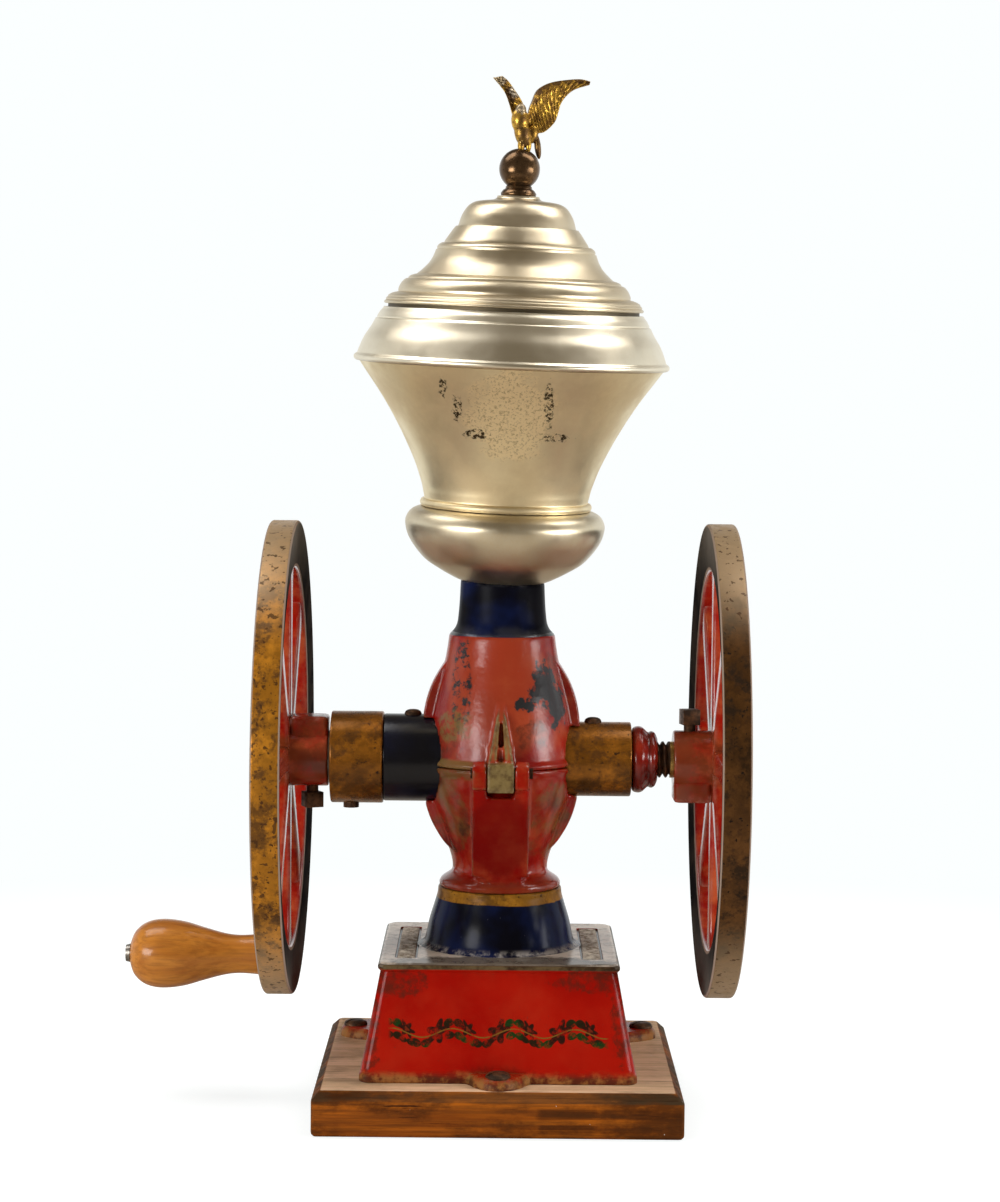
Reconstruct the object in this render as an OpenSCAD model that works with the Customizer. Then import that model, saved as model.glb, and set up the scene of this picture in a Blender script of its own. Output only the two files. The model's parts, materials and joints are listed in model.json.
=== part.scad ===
// Counter-top coffee mill with two flywheels. Lengths in millimetres.
// Origin: centre of the board underside. X along the shaft, -Y the hinge side, +Z up.

/* [Board] */
// width of the wooden board, left to right
board_w = 205; // [200:1:220]
// depth of the wooden board, front to back
board_d = 198; // [194:1:215]
// thickness of the wooden board
board_t = 25; // [20:1:30]
// bevel along the top edges of the board
board_bevel = 5; // [2:0.5:6]

/* [Base] */
// width of the cast base at the board
base_w = 155; // [150:1:157]
// width of the cast base at its top plate
base_top_w = 132; // [130:1:136]
// height of the cast base without the pedestal
base_h = 65; // [62:1:72]
// wall of the cast base
base_wall = 6; // [5:0.5:7]
// thickness of the top plate
plate_t = 7; // [6:0.5:9]
// height of the round pedestal
pedestal_h = 34; // [31:1:40]
// radius of the pedestal where it meets the plate
pedestal_foot_r = 44; // [42:0.5:48]
// radius of the pedestal at its top
pedestal_top_r = 35.4; // [35:0.1:38]
// radius of a screw lug
lug_r = 12.5; // [11:0.5:13]
// thickness of a screw lug
lug_t = 6; // [5:0.5:8]
// distance of the lug screws from the base wall
lug_reach = 8; // [7.5:0.5:8]
// distance of the two side lugs behind the middle
side_lug_y = 48; // [40:1:52]

/* [Drawer] */
// outside width of the drawer
drawer_w = 112; // [100:1:114]
// outside height of the drawer
drawer_h = 40; // [34:1:42]
// outside depth of the drawer
drawer_d = 124; // [110:1:126]
// thickness of the drawer boards
drawer_board = 6; // [5:0.5:8]
// space around the drawer
drawer_gap = 0.5; // [0.3:0.1:0.8]

/* [Casing] */
// height of the shaft above the pedestal
shaft_rise = 74; // [73:0.5:76]
// how far the casing seam lies below the shaft
seam_drop = 2.5; // [2:0.1:3]
// largest radius of the egg shaped casing
casing_r = 43.4; // [43:0.1:44]
// radius of the burr housing behind the egg
housing_r = 62.5; // [61:0.5:64]
// half width of the burr housing
housing_half_w = 45.2; // [45:0.1:46]
// radius of the grinding chamber
chamber_r = 27; // [26.5:0.1:27.5]
// half length of the grinding chamber
chamber_half_w = 30; // [29.5:0.5:31]
// wall between the feed side and the burr side
bulkhead_t = 6; // [5:0.5:7]
// height of the neck top above the shaft
neck_rise = 103; // [101:0.5:106]
// radius of the bean passage in the neck
neck_bore_r = 16; // [14:0.5:16.5]
// gap in the seam between the casing halves
seam_gap = 0.2; // [0.1:0.05:0.4]
// space of the upper casing over the bearing sleeves
saddle_gap = 0.3; // [0.2:0.05:0.5]

/* [Hinge] */
// distance of the hinge pin in front of the shaft
hinge_reach = 53; // [52.5:0.5:54]
// radius of the hinge pin
hinge_pin_r = 3; // [2.5:0.1:3.2]
// radius of the hinge ears
ear_r = 6.75; // [6:0.25:7]
// width over both hinge ears
hinge_w = 32; // [30:0.5:34]
// width of the knuckle between the ears
knuckle_w = 15; // [13:0.5:16]
// play beside the knuckle
knuckle_gap = 0.4; // [0.3:0.05:0.6]
// running clearance of shafts and pins
run_gap = 0.05; // [0.03:0.01:0.08]

/* [Shaft] */
// radius of the main shaft
shaft_r = 6; // [5.5:0.1:6.2]
// radius of the left bearing sleeve
left_sleeve_r = 25.2; // [25:0.1:26]
// length of the left bearing sleeve outside the chamber
left_sleeve_l = 37.7; // [37:0.1:38.5]
// radius of the spring cap
cap_r = 26.5; // [26.3:0.1:27.5]
// length of the spring cap
cap_l = 30.3; // [29.5:0.1:30.6]
// radius of the right bearing sleeve
right_sleeve_r = 21.5; // [21:0.1:22]
// length of the right bearing sleeve outside the chamber
right_sleeve_l = 45; // [44:0.5:45.5]
// outside radius of the bearing bushes
bush_r = 10; // [9.5:0.1:10.5]

/* [Regulator] */
// radius of the regulator nut
nut_r = 19.2; // [18:0.1:20.5]
// length of the regulator nut
nut_l = 15; // [13:0.5:15.5]
// core radius of the regulator screw
screw_core_r = 8.5; // [8.2:0.1:8.8]
// crest radius of the open thread
screw_crest_r = 10.8; // [10.2:0.1:11.5]
// pitch of the open thread
screw_pitch = 3.6; // [3:0.1:4]
// thickness of the thrust washer
washer_t = 1.8; // [1.4:0.1:2.2]

/* [Wheels] */
// outside radius of the flywheels
wheel_r = 136.5; // [134:0.5:140]
// inside radius of the flywheel rim
rim_inner_r = 109; // [107:0.5:109.5]
// distance of the rim's inner face from the middle
wheel_x = 117.5; // [116:0.5:119]
// width of the rim
rim_w = 16; // [15.5:0.5:18]
// thickness of the spokes
spoke_t = 8; // [7:0.5:9]
// distance of the hub face from the middle
hub_x = 99.5; // [99.3:0.1:99.8]
// radius of the hub
hub_r = 17; // [16:0.5:18]
// how far the hub boss stands out
boss_reach = 24; // [22:0.5:25]
// number of spokes
spokes = 8; // [8:4:8]

/* [Handle] */
// distance of the handle from the tread of its wheel
handle_inset = 20.5; // [18:0.5:20.5]
// length of the wooden grip
grip_l = 80; // [74:1:84]
// largest radius of the wooden grip
grip_r = 19.8; // [18.5:0.1:21]
// radius of the handle pin
pin_r = 4; // [3.5:0.1:4.2]

/* [Hopper] */
// lean of the hopper toward the hinge side, degrees
lean_front = 3; // [0:0.5:4]
// lean of the hopper to the right, degrees
lean_side = 1.8; // [0:0.2:3]
// sheet thickness of hopper and lid
sheet_t = 1.5; // [1.2:0.1:1.8]
// largest radius of the hopper bulb
bulb_r = 57.4; // [55:0.2:60]
// height of the seam between bulb and cone
ring_h = 43.8; // [42:0.2:46]
// outside radius of the ring bead
ring_r = 49.4; // [48.5:0.1:50.5]
// radius of the rolled rim
rim_r = 90.3; // [86:0.1:94]
// height of the rolled rim above the neck
rim_h = 126; // [122:0.5:130]
// height of the shoulder above the rim
shoulder_h = 29; // [27:0.5:31]
// radius of the hopper mouth
mouth_r = 74; // [73:0.2:76]
// height of the lid
lid_h = 64; // [61:0.5:68]
// space between lid collar and mouth
lid_gap = 0.8; // [0.5:0.1:1.2]

/* [Finial] */
// radius of the finial ball
ball_r = 11.6; // [11:0.1:12.5]
// uniform size of the eagle
eagle_size = 1; // [0.9:0.05:1.1]

/* [Clamp] */
// radius of the clamp screw
clamp_r = 4; // [3.5:0.1:4.5]
// height of the clamp screw above the shaft
clamp_rise = 8; // [8:0.5:10]

/* [Hidden] */
$fn = 96;
eps = 0.01;
board_top = board_t;
base_top = board_top + base_h;
pedestal_top = base_top + pedestal_h;
shaft_z = pedestal_top + shaft_rise;
seam_z = shaft_z - seam_drop;
hinge_y = -hinge_reach;
neck_top = shaft_z + neck_rise;
bulkhead_x = 2;
left_end = -chamber_half_w - left_sleeve_l;
cap_end = left_end - cap_l;
right_end = chamber_half_w + right_sleeve_l;
spigot_end = cap_end + 5.5;
seat_end = cap_end + 7;
burr_bore_r = 13.5;
oil_seat = 0.9;
left_oil_x = -chamber_half_w - 21;
right_oil_x = chamber_half_w + 23;
cap_bore_r = 22;
cap_mouth_r = 15.8;
cap_screw_x = cap_end + 11.5;
cap_screw_r = 2.4;
cap_seat = 0.5;
collar_drop = 8;
collar_h = 12;
chute_r = 19;
face_gap = 0.05;
washer_x = hub_x - face_gap - washer_t;
screw_end = washer_x - face_gap;
nut_x = right_end + 0.2;
bolt_ring_r = 23.2;
bolt_r = 2.5;
lug_hole_r = 3;
handle_z = shaft_z - wheel_r + handle_inset;
grip_x = -wheel_x - rim_w - 0.6;
grip_end = grip_x - grip_l;
burr_x = bulkhead_x + bulkhead_t;
burr_t = 7;
burr_gap = 0.6;
lid_z = rim_h + shoulder_h;
lid_top = lid_z + 0.3 + lid_h;
tail_r = 14.2;
side_lug_x = base_w / 2 + lug_reach;
front_lug_y = -base_w / 2 - lug_reach;
set_screw_x = 109;
clamp_z = shaft_z + clamp_rise;
pad_y = housing_r + 1.5;
tongue_y = pad_y + 10;

// middle of a curve through four points
function bend(a, b, c, d, t) = 0.5 * (2 * b + (c - a) * t + (2 * a - 5 * b + 4 * c - d) * t * t
    + (3 * b - a - 3 * c + d) * t * t * t);
// a curve with n steps between each pair of points
function curve(p, n) = concat([for (i = [0 : len(p) - 2]) for (k = [0 : n - 1])
    bend(p[max(i - 1, 0)], p[i], p[i + 1], p[min(i + 2, len(p) - 1)], k / n)], [p[len(p) - 1]]);
function unit(v) = v / norm(v);
// the inside of a sheet whose outside runs upward
function inside(p, t) = [for (i = [0 : len(p) - 1])
    let (d = unit(p[min(i + 1, len(p) - 1)] - p[max(i - 1, 0)])) [p[i][0] - t * d[1], p[i][1] + t * d[0]]];
function backward(p) = [for (i = [len(p) - 1 : -1 : 0]) p[i]];

egg_low = curve([[27.2, -64], [27.5, -60], [28.7, -55], [31.6, -46], [35.4, -35], [39.5, -24.3],
    [42.2, -14], [casing_r - 0.2, -6], [casing_r, -seam_drop]], 3);
egg_high = curve([[casing_r, -seam_drop], [casing_r - 0.2, 3], [42.2, 12], [40.7, 22.4], [37.5, 38],
    [33.6, 53], [31.5, 64], [30.6, 71]], 3);
neck_side = curve([[30, 72.5], [28, 74.2], [26.2, 77.5], [25.4, 82], [24.6, 92], [23.9, neck_rise + 6]], 3);
housing_side = curve([[0, housing_half_w], [18, housing_half_w], [26, 44.3], [33, 42.6], [40, 40],
    [46.5, 36.5], [53, 32], [58, 26], [61.5, 16], [housing_r, 0]], 3);
bulb_side = concat([[neck_bore_r, 0], [25, 0]],
    curve([[28, 1.2], [37, 6], [46.6, 12.5], [bulb_r - 2.7, 23], [bulb_r, 31.5], [bulb_r - 1, 36.5],
    [bulb_r - 4.2, 40], [ring_r - 2.2, ring_h - 1.6]], 3),
    [[ring_r - 2.4, ring_h - 1.4], [ring_r - 4.2, ring_h - 1.4]]);
cone_side = concat([[ring_r - 2.4, ring_h - 1.4]],
    curve([[ring_r - 2.4, ring_h + 1.4], [ring_r - 1.7, ring_h + 6], [ring_r - 0.2, ring_h + 12],
    [54, rim_h - 57.3], [62.5, rim_h - 40], [72.6, rim_h - 23], [rim_r - 6.5, rim_h - 7],
    [rim_r - 2.2, rim_h - 1.5], [rim_r - 0.2, rim_h + 1]], 3));
shoulder_side = concat(
    curve([[rim_r - 2.2, rim_h + 1.5], [rim_r - 3.4, rim_h + 6], [rim_r - 5.8, rim_h + 11.5],
    [rim_r - 9.3, rim_h + 17], [mouth_r + 4.6, rim_h + 21.6]], 3),
    [[mouth_r + 4, rim_h + 22.4]],
    curve([[mouth_r + 3.6, rim_h + 23.4], [mouth_r + 1.8, rim_h + 26], [mouth_r, lid_z]], 3));
lid_side = [for (p = concat(
    curve([[mouth_r + 0.2, 0], [73.4, 3.2], [70.6, 5.8], [68, 7.4]], 3),
    curve([[66.4, 8.4], [63.6, 13], [60.6, 16], [57.4, 18.2]], 3),
    curve([[54.8, 20], [51.4, 25], [48, 29.4], [46, 33], [43.6, 36]], 3),
    curve([[40.4, 37.4], [38.2, 42], [35.4, 45.6]], 3),
    curve([[33.6, 46.8], [32.6, 50.4], [30.6, 54.4], [27, 58.4], [22, 60.6], [15, 61.8], [11.6, 62.8],
    [10.4, 64]], 3), [[3, 64]])) [p[0], p[1] * lid_h / 64]];
grip_side = [[pin_r + run_gap, 0], [12, 0], each curve([[12.2, 1.5], [11.3, 10], [11.1, 18], [12.2, 26],
    [15.2, 37], [18.4, 48], [grip_r, 58], [19.4, 66], [17, 72.5], [12.5, 77.5], [7, grip_l - 0.5]], 3),
    [pin_r + run_gap, grip_l]];

// parts of the hopper stand on its own leaning axis
module on_hopper() {
    translate([0, 0, neck_top]) rotate([lean_front, lean_side, 0]) children();
}

// a cylinder along X between two places, centred on the shaft
module along_shaft(x0, x1, r) {
    translate([x0, 0, shaft_z]) rotate([0, 90, 0]) cylinder(r = r, h = x1 - x0);
}

module tube_on_shaft(x0, x1, r, bore) {
    difference() {
        along_shaft(x0, x1, r);
        along_shaft(x0 - 1, x1 + 1, bore);
    }
}

// a cylinder along X on the hinge axis
module along_hinge(x0, x1, r) {
    translate([x0, hinge_y, seam_z]) rotate([0, 90, 0]) cylinder(r = r, h = x1 - x0);
}

// a box that narrows upward and has cut corners
module tapered_box(w0, w1, z0, h, cut) {
    d0 = w0 * 0.70711 - cut;
    d1 = w1 * 0.70711 - cut;
    intersection() {
        tapered_slab(w0 / 2, w1 / 2, z0, h);
        rotate([0, 0, 90]) tapered_slab(w0 / 2, w1 / 2, z0, h);
        rotate([0, 0, 45]) tapered_slab(d0, d1, z0, h);
        rotate([0, 0, 135]) tapered_slab(d0, d1, z0, h);
    }
}

module tapered_slab(a, b, z0, h) {
    translate([0, 150, 0]) rotate([90, 0, 0]) linear_extrude(height = 300)
        polygon([[-a, z0], [a, z0], [b, z0 + h], [-b, z0 + h]]);
}

module sheet(side) {
    rotate_extrude() polygon(concat(side, backward(inside(side, sheet_t))));
}

module lug_places() {
    translate([0, front_lug_y, 0]) children();
    translate([-side_lug_x, side_lug_y, 0]) children();
    translate([side_lug_x, side_lug_y, 0]) children();
}

module base_board() {
    color("saddlebrown") intersection() {
        translate([-board_w / 2, -board_d / 2, 0]) cube([board_w, board_d, board_t]);
        board_prism(board_w);
        rotate([0, 0, 90]) board_prism(board_d);
        difference() {
            translate([-board_w, -board_d, 0]) cube([2 * board_w, 2 * board_d, board_t]);
            lug_places() translate([0, 0, board_top - 14]) cylinder(r = lug_hole_r - 0.5, h = 15);
        }
    }
}

module board_prism(w) {
    translate([0, 150, 0]) rotate([90, 0, 0]) linear_extrude(height = 300)
        polygon([[-w / 2, 0], [w / 2, 0], [w / 2, board_t - board_bevel], [w / 2 - board_bevel, board_t],
        [-w / 2 + board_bevel, board_t], [-w / 2, board_t - board_bevel]]);
}

module base_casting() {
    color("firebrick") difference() {
        union() {
            tapered_box(base_w, base_top_w, board_top, base_h - 3, 4);
            tapered_box(base_top_w + 1.5, base_top_w - 1, base_top - 4, 4, 4);
            translate([0, 0, base_top - 1]) rotate_extrude() polygon(concat([[10, 0]],
                curve([[pedestal_foot_r + 2, 0], [pedestal_foot_r - 0.4, 2.6], [42.4, 6], [40.4, 15.8],
                [37.6, 25], [pedestal_top_r + 0.2, pedestal_h - 2], [pedestal_top_r, pedestal_h + 1]], 3),
                [[10, pedestal_h + 1]]));
            lug_places() translate([0, 0, board_top]) cylinder(r = lug_r, h = lug_t);
            translate([-lug_r - 3, front_lug_y, board_top]) cube([2 * lug_r + 6, lug_reach + 4, lug_t]);
            for (s = [-1, 1])
                translate([s * (side_lug_x - lug_reach / 2 - 2), side_lug_y, board_top + lug_t / 2])
                cube([lug_reach + 4, 2 * lug_r + 4, lug_t], center = true);
        }
        tapered_box(base_w - 2 * base_wall, base_top_w - 2 * base_wall, board_top - eps, base_h - plate_t, 4);
        translate([0, 0, base_top - plate_t - 1]) cylinder(r = 28, h = pedestal_h + plate_t - 11);
        translate([0, 0, base_top]) cylinder(r = chute_r, h = pedestal_h + 1);
        translate([-drawer_w / 2 - drawer_gap, 40, board_top - 1])
            cube([drawer_w + 2 * drawer_gap, 60, drawer_h + 1 + 2 * drawer_gap]);
        lug_places() translate([0, 0, board_top - 1]) cylinder(r = lug_hole_r, h = lug_t + 2);
        bolt_places() translate([0, 0, pedestal_top - 20]) cylinder(r = bolt_r, h = 21);
    }
}

module bolt_places() {
    for (a = [30, 150, 270]) rotate([0, 0, a]) translate([bolt_ring_r, 0, 0]) children();
}

module base_screws() {
    color("dimgray") lug_places() translate([0, 0, board_top + lug_t]) {
        difference() {
            union() {
                intersection() {
                    translate([0, 0, -5.4]) sphere(r = 8.6);
                    cylinder(r = 7, h = 4);
                }
                translate([0, 0, -lug_t - 12]) cylinder(r = lug_hole_r - 0.5, h = lug_t + 12.5);
            }
            rotate([0, 0, 35]) translate([-8, -0.7, 1.6]) cube([16, 1.4, 4]);
        }
    }
}

module drawer_box(x0, y0, z0, x1, y1, z1) {
    translate([x0, y0, z0]) cube([x1 - x0, y1 - y0, z1 - z0]);
}

drawer_y1 = base_w / 2 - 6;
drawer_y0 = drawer_y1 - drawer_d;
drawer_z = board_top + 0.1;

module drawer_front() {
    color("peru") difference() {
        drawer_box(-drawer_w / 2, drawer_y1 - drawer_board, drawer_z,
            drawer_w / 2, drawer_y1, drawer_z + drawer_h);
        translate([0, drawer_y1 - drawer_board - 1, drawer_z + drawer_h / 2]) rotate([-90, 0, 0])
            cylinder(r = 2.5, h = drawer_board + 2);
    }
}

module drawer_side(s) {
    translate([s * (drawer_w - drawer_board) / 2, drawer_y0 + drawer_d / 2 - drawer_board / 2,
        drawer_z + (drawer_h - 4) / 2])
        cube([drawer_board, drawer_d - drawer_board, drawer_h - 4], center = true);
}

module drawer_left_side() {
    color("peru") drawer_side(-1);
}

module drawer_right_side() {
    color("peru") drawer_side(1);
}

module drawer_back() {
    color("peru") drawer_box(-drawer_w / 2 + drawer_board, drawer_y0, drawer_z, drawer_w / 2 - drawer_board,
        drawer_y0 + drawer_board, drawer_z + drawer_h - 4);
}

module drawer_bottom() {
    color("burlywood") drawer_box(-drawer_w / 2 + drawer_board, drawer_y0 + drawer_board, drawer_z,
        drawer_w / 2 - drawer_board, drawer_y1 - drawer_board, drawer_z + 4);
}

module drawer_knob() {
    color("darkgoldenrod") translate([0, drawer_y1 - drawer_board, drawer_z + drawer_h / 2])
        rotate([-90, 0, 0])
        rotate_extrude() polygon([[0, -3], [5, -3], [5, 0], [2.5, 0], [2.5, drawer_board], [6, drawer_board],
        [4, drawer_board + 3], [4, drawer_board + 6], [7, drawer_board + 9], [8, drawer_board + 12],
        [6.5, drawer_board + 15], [3, drawer_board + 16.5], [0, drawer_board + 17]]);
}

module casing_bolts() {
    color("dimgray") bolt_places() translate([0, 0, pedestal_top - 12]) {
        cylinder(r = bolt_r, h = 22);
        translate([0, 0, -4]) cylinder(r = 3.9, h = 4, $fn = 6);
    }
}

// housing of the burrs, open toward the hinge side
module housing() {
    intersection() {
        translate([0, 0, shaft_z + 4]) rotate([0, 90, 0]) rotate_extrude()
            polygon(concat(housing_side, [for (p = backward(housing_side)) [p[0], -p[1]]]));
        translate([-60, -10, shaft_z - 80]) cube([120, 100, 160]);
    }
}

module chamber() {
    along_shaft(-chamber_half_w, bulkhead_x, chamber_r);
    along_shaft(burr_x, chamber_half_w, chamber_r);
}

module seam_bead(s) {
    translate([0, 0, seam_z]) rotate_extrude() polygon([[casing_r - 4, 0], [casing_r + 1, 0],
        [casing_r + 1.5, s * 1.2], [casing_r + 1.2, s * 2.8], [casing_r - 0.2, s * 4.4],
        [casing_r - 4, s * 4.4]]);
}

module lower_casing() {
    color("firebrick") difference() {
        union() {
            intersection() {
                union() {
                    translate([0, 0, shaft_z]) rotate_extrude() polygon(concat([[0, -shaft_rise],
                        [pedestal_top_r - 0.4, -shaft_rise], [pedestal_top_r - 0.4, -shaft_rise + 3.4]],
                        curve([[pedestal_top_r - 1.4, -shaft_rise + 4.6], [31, -67.4], [28.4, -65.8]], 3),
                        egg_low, [[0, -seam_drop]]));
                    seam_bead(-1);
                    housing();
                }
                translate([-100, -100, 0]) cube([200, 200, seam_z - seam_gap / 2]);
            }
            hinge_bracket();
            clamp_tongue();
        }
        intersection() {
            chamber();
            translate([-100, -100, 0]) cube([200, 200, shaft_z + 1]);
        }
        along_shaft(-70, -chamber_half_w + eps, left_sleeve_r);
        along_shaft(chamber_half_w - eps, 70, right_sleeve_r);
        along_shaft(0, 10, burr_bore_r);
        translate([0, 0, pedestal_top - 1]) cylinder(r = chute_r, h = 30);
        translate([burr_x + 1, -14, shaft_z - 50]) cube([13, 28, 27]);
        bolt_places() translate([0, 0, pedestal_top - 1]) cylinder(r = bolt_r, h = 12);
        along_hinge(-knuckle_w / 2 - knuckle_gap, knuckle_w / 2 + knuckle_gap, tail_r);
        along_hinge(-40, 40, hinge_pin_r);
        translate([0, 0, clamp_z]) rotate([-90, 0, 0]) cylinder(r = clamp_r + run_gap, h = 200);
        burr_screw_places() cylinder(r = 1.6, h = 20, center = true);
    }
}

module hinge_bracket() {
    intersection() {
        translate([-hinge_w / 2, 0, 0]) rotate([90, 0, 90]) linear_extrude(height = hinge_w)
            polygon([[-30, seam_z - 62], [-33.5, seam_z - 62], [-41, seam_z - 42],
            [hinge_y + 2.5, seam_z - 22], [hinge_y - 1, seam_z - 12], [hinge_y - 1, seam_z - 4],
            [hinge_y + 5, seam_z - 4],
            [hinge_y + 10, seam_z - 5.5], [-30, seam_z - 5.5]]);
        translate([-100, -100, 0]) cube([200, 200, seam_z - 1]);
    }
    for (s = [-1, 1]) {
        translate([s * (hinge_w + knuckle_w + 2 * knuckle_gap) / 4, 0, 0])
            ear((hinge_w - knuckle_w - 2 * knuckle_gap) / 2);
    }
}

module ear(w) {
    along_hinge(-w / 2, w / 2, ear_r);
    translate([-w / 2, hinge_y - ear_r, seam_z - 9]) cube([w, 2 * ear_r - 2, 9]);
}

// the tongue behind the casing that carries the clamp screw
module clamp_tongue() {
    translate([-9, 0, 0]) rotate([90, 0, 90]) linear_extrude(height = 18)
        polygon([[45, seam_z - 42], [tongue_y + 8, seam_z - 14], [tongue_y + 8, clamp_z + 9],
        [tongue_y, clamp_z + 9], [tongue_y, seam_z - 10], [45, seam_z - 20]]);
}

module burr_screw_places() {
    for (a = [130, 230]) translate([burr_x, 0, shaft_z]) rotate([a, 0, 0]) translate([0, 0, 18.4])
        rotate([0, 90, 0]) children();
}

module upper_casing() {
    color("firebrick") difference() {
        union() {
            intersection() {
                union() {
                    translate([0, 0, shaft_z]) rotate_extrude()
                        polygon(concat([[0, -seam_drop]], egg_high, neck_side, [[0, neck_rise + 6]]));
                    seam_bead(1);
                    housing();
                    translate([-8, 40, seam_z]) cube([16, pad_y - 40, clamp_z + 9 - seam_z]);
                }
                translate([-100, -100, seam_z + seam_gap / 2]) cube([200, 200, 200]);
            }
            hinge_knuckle();
        }
        intersection() {
            chamber();
            translate([-100, -100, seam_z - 1]) cube([200, 200, 100]);
        }
        saddle(-70, -chamber_half_w + eps, left_sleeve_r + saddle_gap);
        saddle(chamber_half_w - eps, 70, right_sleeve_r + saddle_gap);
        saddle(0, 10, burr_bore_r + 0.5);
        translate([0, 0, neck_top - 40]) cylinder(r = neck_bore_r, h = 60);
        translate([-14, 0, shaft_z + 16]) rotate([0, 14, 0]) cylinder(r = 12, h = 56);
        on_hopper() cylinder(r = 60, h = 40);
        on_hopper() hopper_screw_places() translate([0, 0, -12]) cylinder(r = 1.6, h = 13);
        along_hinge(-40, 40, hinge_pin_r + run_gap);
    }
}

// room for a sleeve that lets the casing lift off it
module saddle(x0, x1, r) {
    along_shaft(x0, x1, r);
    translate([x0, -r, seam_z - 2]) cube([x1 - x0, 2 * r, seam_drop + 2]);
}

// the knuckle with its tail and the two rails that run up the casing
module hinge_knuckle() {
    half = knuckle_w / 2;
    along_hinge(-half, half, 6.5);
    translate([-half, hinge_y - 7, seam_z - 10.5]) cube([knuckle_w, 10, 16]);
    difference() {
        intersection() {
            rotate([90, 0, 0]) linear_extrude(height = 80)
                polygon([[-half, seam_z + 4], [half, seam_z + 4], [1.4, seam_z + 38], [-1.4, seam_z + 38]]);
            translate([-20, 0, 0]) rotate([90, 0, 90]) linear_extrude(height = 40)
                polygon([[-34, seam_z + 4], [hinge_y - 6, seam_z + 4], [-38.5, seam_z + 38],
                [-34, seam_z + 38]]);
        }
        rotate([90, 0, 0]) linear_extrude(height = 80)
            polygon([[-3.4, seam_z + 6], [3.4, seam_z + 6], [0.3, seam_z + 32], [-0.3, seam_z + 32]]);
    }
    translate([-half + 1, hinge_y + 2, seam_z + 2]) cube([knuckle_w - 2, 14, 12]);
}

module hinge_pin() {
    color("dimgray") along_hinge(-hinge_w / 2 - 1, hinge_w / 2 + 2, hinge_pin_r);
}

module left_bearing() {
    color("midnightblue") difference() {
        union() {
            along_shaft(left_end, -chamber_half_w, left_sleeve_r);
            along_shaft(spigot_end, left_end + 1, cap_bore_r - face_gap);
        }
        along_shaft(left_end + 2, -chamber_half_w + 1, bush_r);
        along_shaft(left_end - 1, left_end + 3, shaft_r + 2);
        along_shaft(spigot_end - 1, left_end, 18);
        translate([left_oil_x, 0, shaft_z]) cylinder(r = 2, h = 40);
        translate([left_oil_x, 0, shaft_z + left_sleeve_r - oil_seat]) cylinder(r = 5.2, h = 10);
    }
}

module left_bush() {
    color("goldenrod") difference() {
        tube_on_shaft(left_end + 2, -chamber_half_w, bush_r, shaft_r + run_gap);
        translate([left_oil_x, 0, shaft_z]) cylinder(r = 2, h = 40);
    }
}

module spring_cap() {
    color("darkgoldenrod") difference() {
        union() {
            along_shaft(cap_end + 2, left_end, cap_r);
            translate([cap_end, 0, shaft_z]) rotate([0, 90, 0]) cylinder(r1 = cap_r - 2, r2 = cap_r, h = 2);
        }
        along_shaft(cap_end - 1, left_end, cap_mouth_r);
        along_shaft(cap_end + 4, left_end + 1, cap_bore_r);
        translate([cap_screw_x, 0, shaft_z]) rotate([180, 0, 0]) {
            cylinder(r = cap_screw_r + 0.1, h = 40);
            translate([0, 0, cap_r - cap_seat]) cylinder(r = 4.7, h = 10);
        }
    }
}

module cap_screw() {
    color("saddlebrown") translate([cap_screw_x, 0, shaft_z]) rotate([180, 0, 0]) {
        translate([0, 0, cap_bore_r]) cylinder(r = cap_screw_r, h = cap_r - cap_bore_r);
        difference() {
            translate([0, 0, cap_r - cap_seat]) cylinder(r = 4.5, h = 3.3);
            translate([-6, -0.6, cap_r + 1.6]) cube([12, 1.2, 3]);
        }
    }
}

module right_bearing() {
    color("darkgoldenrod") difference() {
        along_shaft(chamber_half_w, right_end, right_sleeve_r);
        along_shaft(chamber_half_w - 1, chamber_half_w + 18, bush_r);
        along_shaft(chamber_half_w, right_end + 1, screw_core_r + run_gap);
        translate([right_oil_x, 0, shaft_z]) cylinder(r = 2, h = 40);
        translate([right_oil_x, 0, shaft_z + right_sleeve_r - oil_seat]) cylinder(r = 5.2, h = 10);
    }
}

module right_bush() {
    color("goldenrod") difference() {
        tube_on_shaft(chamber_half_w, chamber_half_w + 18, bush_r, shaft_r + run_gap);
        translate([right_oil_x, 0, shaft_z]) cylinder(r = 2, h = 40);
    }
}

module oil_screw(x, r) {
    translate([x, 0, shaft_z + r - oil_seat]) {
        translate([0, 0, -6]) cylinder(r = 2, h = 7);
        difference() {
            intersection() {
                translate([0, 0, -3.6]) sphere(r = 7.2);
                cylinder(r = 5, h = 4);
            }
            rotate([0, 0, 30]) translate([-6, -0.6, 2.2]) cube([12, 1.2, 3]);
        }
    }
}

module oil_screws() {
    color("saddlebrown") {
        oil_screw(left_oil_x, left_sleeve_r);
        oil_screw(right_oil_x, right_sleeve_r);
    }
}

module shaft() {
    color("lightslategray") along_shaft(-wheel_x - rim_w + 1, wheel_x + rim_w - 1, shaft_r);
}

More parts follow.
